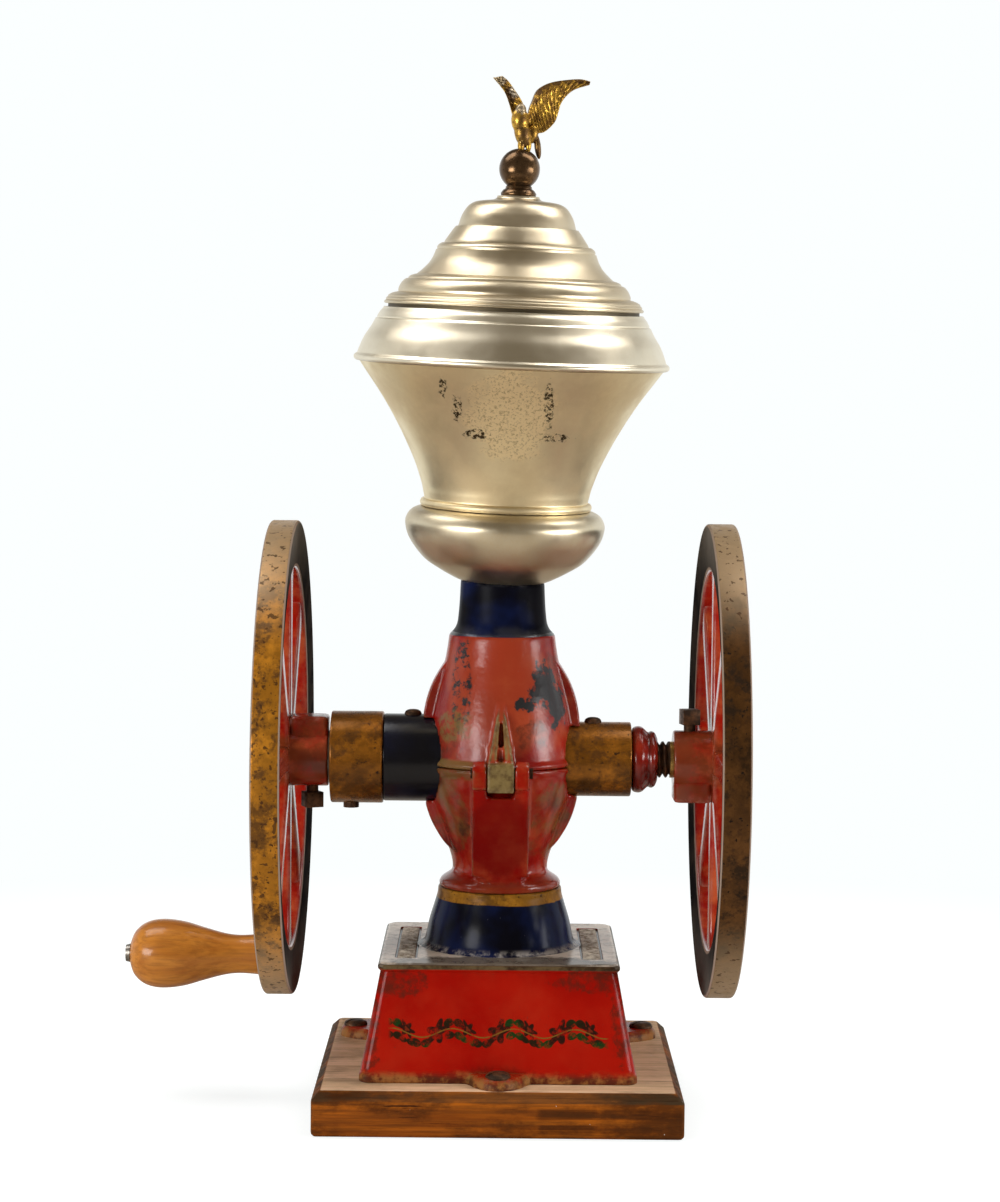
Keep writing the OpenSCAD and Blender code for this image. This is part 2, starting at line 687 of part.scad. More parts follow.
// one flywheel along +X with its set screw side up
module wheel() {
    difference() {
        union() {
            difference() {
                translate([wheel_x, 0, 0]) rotate([0, 90, 0]) cylinder(r = wheel_r, h = rim_w);
                translate([wheel_x - 1, 0, 0]) rotate([0, 90, 0]) cylinder(r = rim_inner_r, h = rim_w + 2);
            }
            translate([hub_x, 0, 0]) rotate([0, 90, 0]) cylinder(r = hub_r, h = wheel_x + rim_w - 2 - hub_x);
            translate([hub_x, -12, -boss_reach]) cube([wheel_x + 5 - hub_x, 24, boss_reach]);
            for (i = [0 : spokes - 1]) rotate([i * 360 / spokes, 0, 0]) spoke();
        }
        translate([hub_x - 1, 0, 0]) rotate([0, 90, 0]) cylinder(r = shaft_r, h = 60);
        translate([set_screw_x, 0, 0]) cylinder(r = 3.4, h = 40);
    }
}

module spoke() {
    translate([wheel_x + rim_w / 2 - spoke_t / 2, 0, 0]) rotate([90, 0, 90]) linear_extrude(height = spoke_t)
        polygon([[-9, 12], [-6.5, 26], [-5.5, 60], [-6.5, 96], [-11, rim_inner_r + 1], [11, rim_inner_r + 1],
        [6.5, 96], [5.5, 60], [6.5, 26], [9, 12]]);
}

module right_wheel() {
    color("firebrick") translate([0, 0, shaft_z]) wheel();
}

module left_wheel() {
    color("firebrick") difference() {
        translate([0, 0, shaft_z]) mirror([1, 0, 0]) mirror([0, 0, 1]) wheel();
        translate([-wheel_x - rim_w - 1, 0, handle_z]) rotate([0, 90, 0]) cylinder(r = pin_r, h = rim_w + 2);
        translate([-wheel_x - 5, 0, handle_z]) rotate([0, 90, 0]) cylinder(r = 6.5, h = 6);
    }
}

module set_screw() {
    translate([0, 0, shaft_r]) cylinder(r = 3.4, h = hub_r - shaft_r + 3.6);
    translate([-5, -5, hub_r + 3.5]) cube([10, 10, 8.8]);
}

module left_set_screw() {
    color("saddlebrown") translate([-set_screw_x, 0, shaft_z]) rotate([180, 0, 25]) set_screw();
}

module right_set_screw() {
    color("saddlebrown") translate([set_screw_x, 0, shaft_z]) rotate([0, 0, 12]) set_screw();
}

module regulator_screw() {
    color("dimgray") difference() {
        union() {
            along_shaft(chamber_half_w + 22, nut_x + nut_l, screw_core_r);
            along_shaft(nut_x + nut_l - 1, screw_end, 8);
            translate([nut_x + nut_l - 1, 0, shaft_z]) rotate([0, 90, 0])
                linear_extrude(height = screw_end - nut_x - nut_l + 1,
                twist = -360 * (screw_end - nut_x - nut_l + 1) / screw_pitch, slices = 30, $fn = 24)
                translate([(screw_crest_r - 8) / 2, 0]) circle(r = (screw_crest_r + 8) / 2);
        }
        along_shaft(chamber_half_w, hub_x, shaft_r + 0.3);
    }
}

module regulator_nut() {
    color("firebrick") difference() {
        translate([nut_x, 0, shaft_z]) rotate([0, 90, 0]) rotate_extrude() polygon(concat(
            [[screw_core_r, 0]], curve([[nut_r - 4, 0], [nut_r - 1.2, 1.2], [nut_r, 4.2],
            [nut_r - 0.6, nut_l * 0.45],
            [nut_r - 2.4, nut_l * 0.56]], 3), curve([[nut_r - 1.4, nut_l * 0.63], [nut_r - 1, nut_l * 0.76],
            [nut_r - 3, nut_l * 0.91], [nut_r - 6, nut_l]], 3), [[screw_core_r, nut_l]]));
        along_shaft(nut_x + nut_l - 1, nut_x + nut_l + 1, screw_crest_r + 0.1);
    }
}

module thrust_washer() {
    color("goldenrod") tube_on_shaft(washer_x, washer_x + washer_t, 10.5, shaft_r + run_gap);
}

module spring_seat() {
    color("lightslategray") difference() {
        along_shaft(-hub_x, seat_end, 15);
        along_shaft(-hub_x - 1, seat_end + 1, shaft_r);
    }
}

// the coil between the bearing and the spring seat
module thrust_spring() {
    turns = 4;
    rings = turns * 8;
    wire = 1.4;
    x0 = seat_end + wire * 0.87;
    x1 = left_end - wire * 0.87;
    points = [for (i = [0 : rings]) for (k = [0 : 5])
        let (a = i * 45, r = 12 + wire * cos(k * 60), x = x0 + (x1 - x0) * i / rings + wire * sin(k * 60))
        [x, r * cos(a), shaft_z + r * sin(a)]];
    sides = [for (i = [0 : rings - 1]) for (k = [0 : 5])
        [i * 6 + k, (i + 1) * 6 + k, (i + 1) * 6 + (k + 1) % 6, i * 6 + (k + 1) % 6]];
    color("gray") polyhedron(points, concat(sides, [[0, 1, 2, 3, 4, 5]],
        [[for (k = [5 : -1 : 0]) rings * 6 + k]]));
}

module fixed_burr() {
    color("slategray") difference() {
        tube_on_shaft(burr_x, burr_x + burr_t, chamber_r - 3.5, burr_bore_r);
        for (i = [0 : 15]) translate([burr_x + burr_t, 0, shaft_z]) rotate([i * 22.5, 0, 0])
            translate([-1.5, -1, 15]) cube([4, 2, 20]);
        burr_screw_places() cylinder(r = 1.6, h = 30, center = true);
        burr_screw_places() translate([0, 0, burr_t - 3.5]) cylinder(r = 3, h = 6);
    }
}

module burr_screws() {
    color("dimgray") burr_screw_places() {
        translate([0, 0, -5]) cylinder(r = 1.6, h = burr_t + 2.5);
        translate([0, 0, burr_t - 3.5]) cylinder(r = 2.9, h = 2);
    }
}

module rotating_burr() {
    x0 = burr_x + burr_t + burr_gap;
    color("slategray") difference() {
        union() {
            along_shaft(x0, x0 + 8, chamber_r - 4);
            along_shaft(x0 + 7, x0 + 11, 12);
        }
        along_shaft(x0 - 1, x0 + 20, shaft_r);
        for (i = [0 : 13]) translate([x0, 0, shaft_z]) rotate([i * 360 / 14, 0, 0])
            translate([-2.5, -1, 12]) cube([4, 2, 22]);
    }
}

module feed_screw() {
    color("slategray") difference() {
        union() {
            along_shaft(-chamber_half_w + 2, burr_x + burr_t - 0.4, 8.4);
            translate([-chamber_half_w + 4, 0, shaft_z]) rotate([0, 90, 0]) linear_extrude(height = 36,
                twist = -540, slices = 36) square([25, 4], center = true);
        }
        along_shaft(-60, 60, shaft_r);
    }
}

module hopper_bulb() {
    color("silver") on_hopper() difference() {
        sheet(bulb_side);
        hopper_screw_places() translate([0, 0, -1]) cylinder(r = 1.6, h = 4);
    }
}

module hopper_cone() {
    color("silver") on_hopper() {
        difference() {
            sheet(cone_side);
            translate([0, 0, rim_h - 1.5]) cylinder(r = rim_r + 10, h = 20);
        }
        translate([0, 0, ring_h]) rotate_extrude() translate([ring_r - 2.6, 0]) difference() {
            circle(r = 2.6, $fn = 32);
            translate([-3, -3]) square([2.1, 6]);
            translate([-3, -3]) square([6, 1.6]);
        }
    }
}

module hopper_shoulder() {
    color("silver") on_hopper() {
        sheet(shoulder_side);
        translate([0, 0, rim_h]) rotate_extrude() {
            translate([rim_r - 1.5, 0]) circle(r = 1.5, $fn = 24);
            translate([rim_r - 5.5, -1.5]) square([4, 3]);
        }
    }
}

module hopper_screw_places() {
    for (a = [90, 210, 330]) rotate([0, 0, a]) translate([neck_bore_r + 3.6, 0, 0]) children();
}

module clamp_ring() {
    color("gray") on_hopper() difference() {
        translate([0, 0, sheet_t]) cylinder(r = 24.5, h = 3);
        translate([0, 0, -1]) cylinder(r = neck_bore_r, h = 10);
        hopper_screw_places() translate([0, 0, -1]) cylinder(r = 1.6, h = 10);
    }
}

module hopper_screws() {
    color("dimgray") on_hopper() hopper_screw_places() {
        translate([0, 0, -10]) cylinder(r = 1.6, h = sheet_t + 13.5);
        difference() {
            translate([0, 0, sheet_t + 3]) cylinder(r = 3, h = 2.2);
            translate([-4, -0.5, sheet_t + 4.2]) cube([8, 1, 3]);
        }
    }
}

module lid() {
    color("silver") on_hopper() translate([0, 0, lid_z + 0.3]) difference() {
        sheet(lid_side);
        translate([0, 0, lid_h - 20]) cylinder(r = 3, h = 40);
    }
}

module lid_collar() {
    r = mouth_r - sheet_t - lid_gap;
    color("silver") on_hopper() translate([0, 0, lid_z + 0.3]) difference() {
        translate([0, 0, -collar_drop]) cylinder(r = r, h = collar_h);
        translate([0, 0, -collar_drop - 1]) cylinder(r = r - sheet_t, h = collar_h + 2);
        rotate_extrude() polygon(concat([[mouth_r + 16, 0]], inside(lid_side, sheet_t),
            [[mouth_r + 16, lid_h + 8]]));
    }
}

module finial_ball() {
    color("sienna") on_hopper() translate([0, 0, lid_top]) difference() {
        union() {
            rotate_extrude()
                polygon([[0, 0], [9.8, 0], [10, 1.6], [8.6, 4], [7.4, 5.4], [7.6, 7], [6, 9], [0, 9]]);
            translate([0, 0, 15.4]) sphere(r = ball_r);
            translate([0, 0, -8]) cylinder(r = 3, h = 9);
        }
        translate([0, 0, 15.4 + ball_r - 6]) cylinder(r = 2, h = 10);
    }
}

module finial_nut() {
    color("goldenrod") on_hopper() translate([0, 0, lid_top - sheet_t - 4]) difference() {
        cylinder(r = 7, h = 4, $fn = 6);
        translate([0, 0, -1]) cylinder(r = 3, h = 8);
    }
}

module eagle() {
    color("goldenrod") on_hopper() translate([0, 0, lid_top + 15.4 + ball_r]) {
        difference() {
            scale(eagle_size) eagle_body();
            translate([0, 0, -ball_r]) sphere(r = ball_r);
        }
        translate([0, 0, -5.5]) cylinder(r = 2, h = 8);
    }
}

module eagle_body() {
    translate([2.6, 0, -0.8]) rotate([0, -9, 0]) rotate_extrude() polygon(curve([[0, 0], [3.4, 0.6], [4.6, 5],
        [5.6, 12], [5.2, 18], [3.4, 22], [0, 23.4]], 3));
    translate([-0.6, 2.4, 22.6]) sphere(r = 3.6);
    translate([-0.6, 4, 22.4]) rotate([-100, 0, 0]) cylinder(r1 = 1.8, r2 = 0.3, h = 4.6);
    translate([8.4, 4, -4.6]) rotate([0, -17, 0]) linear_extrude(height = 17) square([3, 7], center = true);
    eagle_wing([[2, 9], [9, 9.2], [15, 13], [19, 19], [21, 24], [26, 31], [33, 36], [39.6, 38.2], [39.4, 40],
        [32, 40.2], [23, 38.6], [15, 35], [9, 28], [5, 21]], 14);
    eagle_wing([[2, 14], [-4, 17], [-6.8, 26], [-11.5, 34], [-15.4, 39], [-14, 40.8], [-9.6, 40.4],
        [-4, 33], [-0.4, 25], [3, 21]], -30);
}

// a wing as a thin plate turned a little about its root
module eagle_wing(outline, turn) {
    rotate([0, 0, turn]) translate([0, 1.2, 0]) rotate([90, 0, 0])
        linear_extrude(height = 2.4) polygon(outline);
}

module handle_pin() {
    color("lightslategray") translate([0, 0, handle_z]) rotate([0, 90, 0]) {
        translate([0, 0, grip_end - 1]) cylinder(r = pin_r, h = -wheel_x - 4.6 - grip_end + 1);
        translate([0, 0, grip_end - 2.6]) cylinder(r1 = pin_r + 0.8, r2 = pin_r + 1.4, h = 2.4);
    }
}

module handle_grip() {
    color("peru") translate([grip_x, 0, handle_z]) rotate([0, -90, 0]) rotate_extrude() polygon(grip_side);
}

module clamp_foot() {
    color("lightslategray") translate([0, pad_y + 0.05, clamp_z]) rotate([-90, 0, 0]) cylinder(r = 6, h = 3);
}

module clamp_screw() {
    color("dimgray") translate([0, pad_y + 3.1, clamp_z]) rotate([-90, 0, 0]) {
        cylinder(r = clamp_r, h = 22);
        translate([0, 0, 20]) cylinder(r = 7, h = 5);
        translate([-11, -1.8, 23]) cube([22, 3.6, 10]);
    }
}

base_board();
base_casting();
base_screws();
drawer_front();
drawer_left_side();
drawer_right_side();
drawer_back();
drawer_bottom();
drawer_knob();
casing_bolts();
lower_casing();
upper_casing();
hinge_pin();
left_bearing();
left_bush();
spring_cap();
cap_screw();
right_bearing();
right_bush();
oil_screws();
shaft();
left_wheel();
right_wheel();
left_set_screw();
right_set_screw();
regulator_screw();
regulator_nut();
thrust_washer();
spring_seat();
thrust_spring();
fixed_burr();
burr_screws();
rotating_burr();
feed_screw();
hopper_bulb();
hopper_cone();
hopper_shoulder();
clamp_ring();
hopper_screws();
lid();
lid_collar();
finial_ball();
finial_nut();
eagle();
handle_pin();
handle_grip();
clamp_foot();
clamp_screw();
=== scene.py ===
# %% [markdown]
# # A counter-top coffee mill
# The mill is a cast-iron hand grinder with two flywheels, a plated hopper and an eagle on its lid. The
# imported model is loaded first. It is the fixed frame: every piece below is made in metres around it.

# %% Load the frame
import json
import math

import bmesh
import bpy
import numpy as np
from mathutils import Matrix, Vector, noise


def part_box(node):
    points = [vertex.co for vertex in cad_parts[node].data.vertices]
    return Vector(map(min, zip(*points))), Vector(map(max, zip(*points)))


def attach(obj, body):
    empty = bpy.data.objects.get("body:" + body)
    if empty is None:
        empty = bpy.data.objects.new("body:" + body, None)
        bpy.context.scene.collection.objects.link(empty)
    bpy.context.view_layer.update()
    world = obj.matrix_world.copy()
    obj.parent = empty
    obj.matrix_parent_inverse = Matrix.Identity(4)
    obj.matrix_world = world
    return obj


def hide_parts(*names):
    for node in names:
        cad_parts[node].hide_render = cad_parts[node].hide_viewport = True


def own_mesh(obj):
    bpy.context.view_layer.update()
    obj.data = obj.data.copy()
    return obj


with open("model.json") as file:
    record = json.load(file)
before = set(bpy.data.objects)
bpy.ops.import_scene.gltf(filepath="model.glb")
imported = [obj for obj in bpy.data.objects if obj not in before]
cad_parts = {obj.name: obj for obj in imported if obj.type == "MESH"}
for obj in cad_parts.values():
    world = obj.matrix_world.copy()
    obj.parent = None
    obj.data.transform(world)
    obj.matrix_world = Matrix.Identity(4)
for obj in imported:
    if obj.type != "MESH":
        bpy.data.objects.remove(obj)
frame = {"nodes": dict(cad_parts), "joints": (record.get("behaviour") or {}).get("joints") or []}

scene = bpy.context.scene
nodes = frame["nodes"]
joints = {joint["name"]: joint for joint in frame["joints"]}
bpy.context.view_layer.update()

# %% [markdown]
# ## Places taken from the frame
# The shaft, the hinge and the hopper axis are read from the joints, so the pieces sit where the solids are.
# The hopper leans a little, as old ones do, so its pieces are turned upright and then set on a leaning
# place.

# %% Main places
MM = 0.001
shaft_z = joints["crank_spin"]["pos_m"][2] / MM
hinge_y = joints["casing_hinge"]["pos_m"][1] / MM
seam_z = joints["casing_hinge"]["pos_m"][2] / MM
handle_z = joints["handle_spin"]["pos_m"][2] / MM
board_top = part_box("base_board")[1].z / MM
pedestal_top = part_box("base_casting")[1].z / MM
NECK_RISE = 103.0
neck_top = shaft_z + NECK_RISE
BASE_HEIGHT = 65.0
base_top = board_top + BASE_HEIGHT
lift_axis = Vector(joints["lid_lift"]["axis"])
lean_front = math.asin(-lift_axis.y)
lean_side = math.atan2(lift_axis.x, lift_axis.z)
HOPPER = (Matrix.Translation((0, 0, neck_top * MM)) @ Matrix.Rotation(lean_side, 4, "Y")
          @ Matrix.Rotation(lean_front, 4, "X"))
print("shaft", shaft_z, "hinge", hinge_y, seam_z, "neck", neck_top)


def along_shaft(x_mm, height_mm=None):
    """A place whose Z axis runs along +X, starting at x on the shaft line."""
    height = shaft_z if height_mm is None else height_mm
    return Matrix.Translation((x_mm * MM, 0, height * MM)) @ Matrix.Rotation(math.pi / 2, 4, "Y")


# %% [markdown]
# ## Camera
# The photograph was taken from about 1.6 m with a long lens, a little above the middle of the mill and
# tilted down by three and a half degrees. A slight roll keeps the lean of the picture. No lens shift is
# needed.

# %% Camera
PHOTO_HEIGHT_PX = 1202
FOCAL_PX = 2750
SENSOR_MM = 36.0
PITCH_DEG = 3.45
ROLL_DEG = 0.55
CAMERA_PLACE = (-0.0014, -1.584, 0.3845)
camera_data = bpy.data.cameras.new("camera")
camera_data.sensor_width = SENSOR_MM
camera_data.lens = FOCAL_PX / PHOTO_HEIGHT_PX * SENSOR_MM
camera = bpy.data.objects.new("camera", camera_data)
scene.collection.objects.link(camera)
camera.matrix_world = (Matrix.Translation(CAMERA_PLACE)
                       @ Matrix.Rotation(math.radians(90 - PITCH_DEG), 4, "X")
                       @ Matrix.Rotation(math.radians(ROLL_DEG), 4, "Z"))
scene.camera = camera
scene.view_settings.view_transform = "Standard"
print("lens", round(camera_data.lens, 2))

# %% [markdown]
# ## Node helper for the finishes
# Every finish is a node tree. Writing each node by hand is long, so a small class adds a node, feeds its
# sockets with numbers or with other sockets, and returns the output. Patterns read Object coordinates in
# metres, so a size in millimetres becomes a noise scale of 1000 over that size.


# %% Finish helper
class Finish:
    """A procedural material while it is being built."""

    def __init__(self, name, metallic=0.0, specular=0.16, coat=0.0, coat_roughness=0.1):
        self.material = bpy.data.materials.new(name)
        self.material.use_nodes = True
        self.tree = self.material.node_tree
        self.shader = self.tree.nodes["Principled BSDF"]
        self.shader.inputs["Metallic"].default_value = metallic
        self.shader.inputs["Specular IOR Level"].default_value = specular
        self.shader.inputs["Coat Weight"].default_value = coat
        self.shader.inputs["Coat Roughness"].default_value = coat_roughness
        self.place = self.add("ShaderNodeTexCoord").outputs["Object"]
        self.xyz = self.add("ShaderNodeSeparateXYZ", {0: self.place}).outputs
        self.geometry = self.add("ShaderNodeNewGeometry").outputs

    def add(self, kind, inputs=None, **settings):
        node = self.tree.nodes.new(kind)
        for key, value in settings.items():
            setattr(node, key, value)
        for key, value in (inputs or {}).items():
            self.feed(node.inputs[key], value)
        return node

    def feed(self, socket, value):
        if isinstance(value, bpy.types.NodeSocket):
            self.tree.links.new(value, socket)
        elif socket.type == "RGBA":
            socket.default_value = (*value, 1.0)
        else:
            socket.default_value = value

    def noise(self, size_mm, detail=4.0, rough=0.55, stretch=(1, 1, 1), warp=0.0, shift=0.0):
        """Noise between 0 and 1 whose blobs are about size_mm long."""
        place = self.add("ShaderNodeMapping", {"Vector": self.place, "Scale": stretch,
                                               "Location": (shift, shift * 0.7, shift * 1.3)})
        cloud = self.add("ShaderNodeTexNoise", {"Vector": place.outputs[0], "Scale": 1 / (size_mm * MM),
                                                "Detail": detail, "Roughness": rough, "Distortion": warp})
        return cloud.outputs[0]

    def math(self, operation, a, b=0.0):
        return self.add("ShaderNodeMath", {0: a, 1: b}, operation=operation).outputs[0]

    def times(self, a, b):
        return self.math("MULTIPLY", a, b)

    def plus(self, a, b):
        return self.math("ADD", a, b)

    def less(self, a, b):
        return self.math("SUBTRACT", a, b)

    def absolute(self, a):
        return self.math("ABSOLUTE", a)

    def length(self, a, b):
        """The long side of a right triangle."""
        return self.math("SQRT", self.plus(self.math("POWER", a, 2.0), self.math("POWER", b, 2.0)))

    def rise(self, value, low, high):
        """A smooth step from 0 at low to 1 at high."""
        return self.add("ShaderNodeMapRange", {"Value": value, "From Min": low, "From Max": high},
                        interpolation_type="SMOOTHSTEP").outputs[0]

    def patches(self, low, high, *sizes, **more):
        """Noise that rises from 0 at low to 1 at high."""
        return self.rise(self.noise(*sizes, **more), low, high)

    def between(self, value, low, high, soft):
        """1 between low and high, with soft ends."""
        up = self.rise(value, low - soft, low + soft)
        down = self.rise(value, high + soft, high - soft)
        return self.times(up, down)

    def tint(self, share, first, second, amount=None):
        """A mix of two colours. The amount, where there is one, lowers the share."""
        if amount is not None:
            share = self.times(share, amount)
        return self.add("ShaderNodeMix", {0: share, 6: first, 7: second}, data_type="RGBA").outputs[2]

    def level(self, share, first, second):
        return self.add("ShaderNodeMix", {0: share, 2: first, 3: second}, data_type="FLOAT").outputs[0]

    def spot(self, centre_mm, reach_mm, ragged=0.6, grain_mm=7.0):
        """1 near a point and 0 away from it, with a ragged edge."""
        offset = self.add("ShaderNodeVectorMath", {0: self.place, 1: tuple(c * MM for c in centre_mm)},
                          operation="SUBTRACT").outputs[0]
        scaled = self.add("ShaderNodeVectorMath", {0: offset, 1: tuple(1 / (r * MM) for r in reach_mm)},
                          operation="MULTIPLY").outputs[0]
        away = self.add("ShaderNodeVectorMath", {0: scaled}, operation="LENGTH").outputs["Value"]
        torn = self.times(self.less(self.noise(grain_mm, 5, 0.65), 0.5), 2 * ragged)
        return self.rise(self.plus(away, torn), 1.15, 0.85)

    def edges(self, low=0.51, high=0.56):
        """1 on outward edges of a dense mesh."""
        return self.rise(self.geometry["Pointiness"], low, high)

    def most(self, *masks):
        total = masks[0]
        for mask in masks[1:]:
            total = self.math("MAXIMUM", total, mask)
        return total

    def relief(self, height, depth_mm, strength=1.0):
        bump = self.add("ShaderNodeBump", {"Height": height, "Distance": depth_mm * MM,
                                           "Strength": strength})
        self.feed(self.shader.inputs["Normal"], bump.outputs[0])

    def done(self, colour, roughness):
        self.feed(self.shader.inputs["Base Color"], colour)
        self.feed(self.shader.inputs["Roughness"], roughness)
        return self.material


# %% [markdown]
# ## Red enamel
# The castings are painted red. The paint is glossy, darker in some places, faded to salmon in others,
# chipped to dark iron in flecks and rubbed through to an olive-bronze primer along the edges; on the wheels
# the edges are painted a pale pink instead, as a painted highlight. The hollows are darkened, as dirt and
# as painted shade. Edges and hollows are found with Pointiness, which needs the dense meshes that the
# castings get below.

# %% Red enamel
DEEP_RED = (0.21, 0.0015, 0.001)
WARM_RED = (0.33, 0.007, 0.002)
SALMON = (0.58, 0.14, 0.045)
OLIVE_BRONZE = (0.14, 0.075, 0.018)
IRON_BROWN = (0.035, 0.018, 0.010)
CHARCOAL = (0.022, 0.022, 0.023)
# a pale pink painted highlight for the edges of the wheels
PAINTED_PINK_SHEEN = (0.44, 0.16, 0.11)


def red_layers(finish, fade=0.25, wear=0.5, deep=DEEP_RED, rubbed=OLIVE_BRONZE):
    """The paint colour and the worn share that all red castings have in common."""
    tone = finish.patches(0.38, 0.66, 55, 3)
    paint = finish.tint(tone, deep, WARM_RED)
    faded = finish.times(finish.patches(0.40, 0.76, 22, 7, 0.62), fade)
    paint = finish.tint(faded, paint, SALMON)
    flecks = finish.patches(0.675, 0.71, 3.2, 5, 0.7, shift=3.0)
    paint = finish.tint(flecks, paint, IRON_BROWN)
    # edges take the rubbed colour: worn-through primer, and on the wheels a pale pink painted highlight
    edge_marks = finish.times(finish.edges(), finish.patches(0.40, 0.62, 9, 6, 0.7, shift=1.0))
    edge_marks = finish.times(edge_marks, wear)
    paint = finish.tint(edge_marks, paint, rubbed)
    # the hollows are darkened nearly black: dirt, and painted shade
    hollow = finish.times(finish.rise(finish.geometry["Pointiness"], 0.488, 0.440), 0.85)
    paint = finish.tint(hollow, paint, (0.024, 0.008, 0.003))
    return paint, finish.most(edge_marks, flecks)


def cast_skin(finish, depth_mm=0.10, size_mm=4.5):
    """The faint orange peel of paint on a sand casting."""
    finish.relief(finish.noise(size_mm, 6, 0.6), depth_mm, 0.6)


# %% [markdown]
# ## Navy enamel and bronze paint
# The pedestal, the neck and one sleeve are a navy so dark that it looks black away from the light. The tread
# of the wheels and the round collars are a bronze paint with brown blotches and dark pits.

# %% Navy and bronze
NAVY = (0.006, 0.012, 0.055)
NAVY_BLACK = (0.003, 0.003, 0.006)
NAVY_WORN = (0.06, 0.06, 0.065)
OCHRE = (0.50, 0.195, 0.014)
BRONZE = (0.39, 0.142, 0.013)
BRONZE_BROWN = (0.050, 0.020, 0.006)
BEIGE_GREY = (0.46, 0.32, 0.18)


def navy_layers(finish):
    tone = finish.patches(0.40, 0.64, 40, 3)
    paint = finish.tint(tone, NAVY_BLACK, NAVY)
    edge_marks = finish.times(finish.edges(), finish.patches(0.42, 0.6, 8, 6, 0.7))
    specks = finish.patches(0.735, 0.76, 2.4, 3, 0.6, shift=5.0)
    return finish.tint(finish.most(edge_marks, specks), paint, NAVY_WORN)


def bronze_layers(finish, bright, dark, blotch=0.55):
    tone = finish.patches(0.40, 0.64, 22, 5, 0.6)
    paint = finish.tint(tone, bright, tuple(0.62 * c for c in bright))
    mottle = finish.patches(0.42, 0.62, 4.5, 8, 0.75, shift=1.5)
    paint = finish.tint(mottle, paint, tuple(0.42 * c for c in bright), 0.6)
    blot = finish.times(finish.patches(0.49, 0.62, 12, 9, 0.74, shift=2.0), blotch)
    paint = finish.tint(blot, paint, dark)
    pits = finish.patches(0.63, 0.67, 2.6, 4, 0.6, shift=7.0)
    return finish.tint(pits, paint, tuple(0.6 * c for c in dark)), finish.most(blot, pits)


def bronze_finish(name, bright, dark, blotch, metallic, smooth):
    finish = Finish(name, metallic=metallic)
    paint, worn = bronze_layers(finish, bright, dark, blotch)
    finish.relief(finish.noise(3.0, 6, 0.65), 0.10, 0.5)
    return finish.done(paint, finish.level(worn, smooth, smooth + 0.2))


def sleeve_finish():
    finish = Finish("sleeve_black", specular=0.35)
    cast_skin(finish, 0.06)
    paint = finish.tint(0.75, navy_layers(finish), NAVY_BLACK)
    return finish.done(paint, finish.level(finish.noise(25, 4), 0.16, 0.3))


def collar_finish():
    finish = Finish("collar_bronze", metallic=0.5, specular=0.3)
    paint, worn = bronze_layers(finish, BRONZE, BRONZE_BROWN, 0.7)
    # darker brown towards the bottom of the collars, broken up by noise: painted shade
    painted_shade_below = finish.times(finish.rise(finish.xyz[2], (shaft_z + 10) * MM, (shaft_z - 14) * MM),
                         finish.patches(0.34, 0.58, 13, 6, 0.65, shift=6.0))
    paint = finish.tint(painted_shade_below, paint, (0.060, 0.024, 0.006), 0.8)
    finish.relief(finish.noise(3.0, 6, 0.65), 0.10, 0.5)
    return finish.done(paint, finish.level(worn, 0.26, 0.46))


sleeve_black = sleeve_finish()
collar_bronze = collar_finish()
ball_bronze = bronze_finish("ball_bronze", (0.15, 0.085, 0.040), (0.045, 0.024, 0.011), 0.6, 0.8, 0.2)

# %% [markdown]
# ## Nickel plate
# The hopper is spun sheet with a warm nickel plate. Lid and shoulder are still bright, the bulb is duller
# and the cone is rubbed to a brassy, speckled grey with dark pits. The lid collar, seen only through the
# seam under the lid, is painted nearly black: painted shade in the gap, and dirt.
# One function makes all grades but the cone's.

# %% Nickel plate
NICKEL = (0.80, 0.73, 0.58)
NICKEL_WARM = (0.61, 0.52, 0.37)
NICKEL_DULL = (0.56, 0.47, 0.32)
BRASSY = (0.66, 0.52, 0.28)
PIT = (0.06, 0.045, 0.025)


def nickel_finish(name, plate, dull, rough_low, rough_high, pitting):
    finish = Finish(name, metallic=1.0)
    patch = finish.patches(0.36, 0.68, 45, 5, 0.6)
    colour = finish.tint(finish.times(patch, dull), plate, NICKEL_DULL)
    grain = finish.patches(0.47, 0.66, 1.6, 5, 0.7, shift=4.0)
    colour = finish.tint(finish.times(grain, 0.35 * dull), colour, BRASSY)
    pits = finish.patches(0.80 - pitting, 0.84 - pitting, 2.6, 6, 0.75, shift=9.0)
    colour = finish.tint(pits, colour, PIT)
    cloud = finish.patches(0.35, 0.7, 30, 6, 0.6, shift=2.0)
    finish.relief(finish.noise(2.2, 5, 0.6), 0.03, 0.35)
    return finish.done(colour, finish.plus(finish.level(cloud, rough_low, rough_high),
                                           finish.times(pits, 0.3)))


nickel_bright = nickel_finish("nickel_bright", NICKEL, 0.25, 0.30, 0.42, 0.095)
nickel_lid = nickel_finish("nickel_lid", NICKEL_WARM, 0.45, 0.32, 0.44, 0.095)
nickel_soft = nickel_finish("nickel_soft", (0.70, 0.62, 0.46), 0.65, 0.32, 0.44, 0.10)
# the lid collar shows only through the seam: nearly black, as painted shade in the gap and dirt
seam_shade_nickel = nickel_finish("seam_shade_nickel", (0.10, 0.08, 0.05), 0.0, 0.5, 0.6, 0.05)

# %% [markdown]
# ## Steel, brass, iron and wood
# Screws are rust-brown steel, shaft and pins plain steel, bushes bronze and burrs bare iron. The woods are
# the same idea three times: noise stretched along the grain, in a coarse and a fine layer.

# %% Small metals
RUST = (0.11, 0.050, 0.022)
RUST_DARK = (0.03, 0.017, 0.010)
STEEL = (0.36, 0.34, 0.31)


def metal_finish(name, first, second, size_mm, rough_low, rough_high, metallic):
    finish = Finish(name, metallic=metallic)
    share = finish.patches(0.35, 0.65, size_mm, 6, 0.65)
    finish.relief(finish.noise(size_mm * 0.3, 5, 0.6), 0.08, 0.5)
    return finish.done(finish.tint(share, first, second), finish.level(share, rough_low, rough_high))


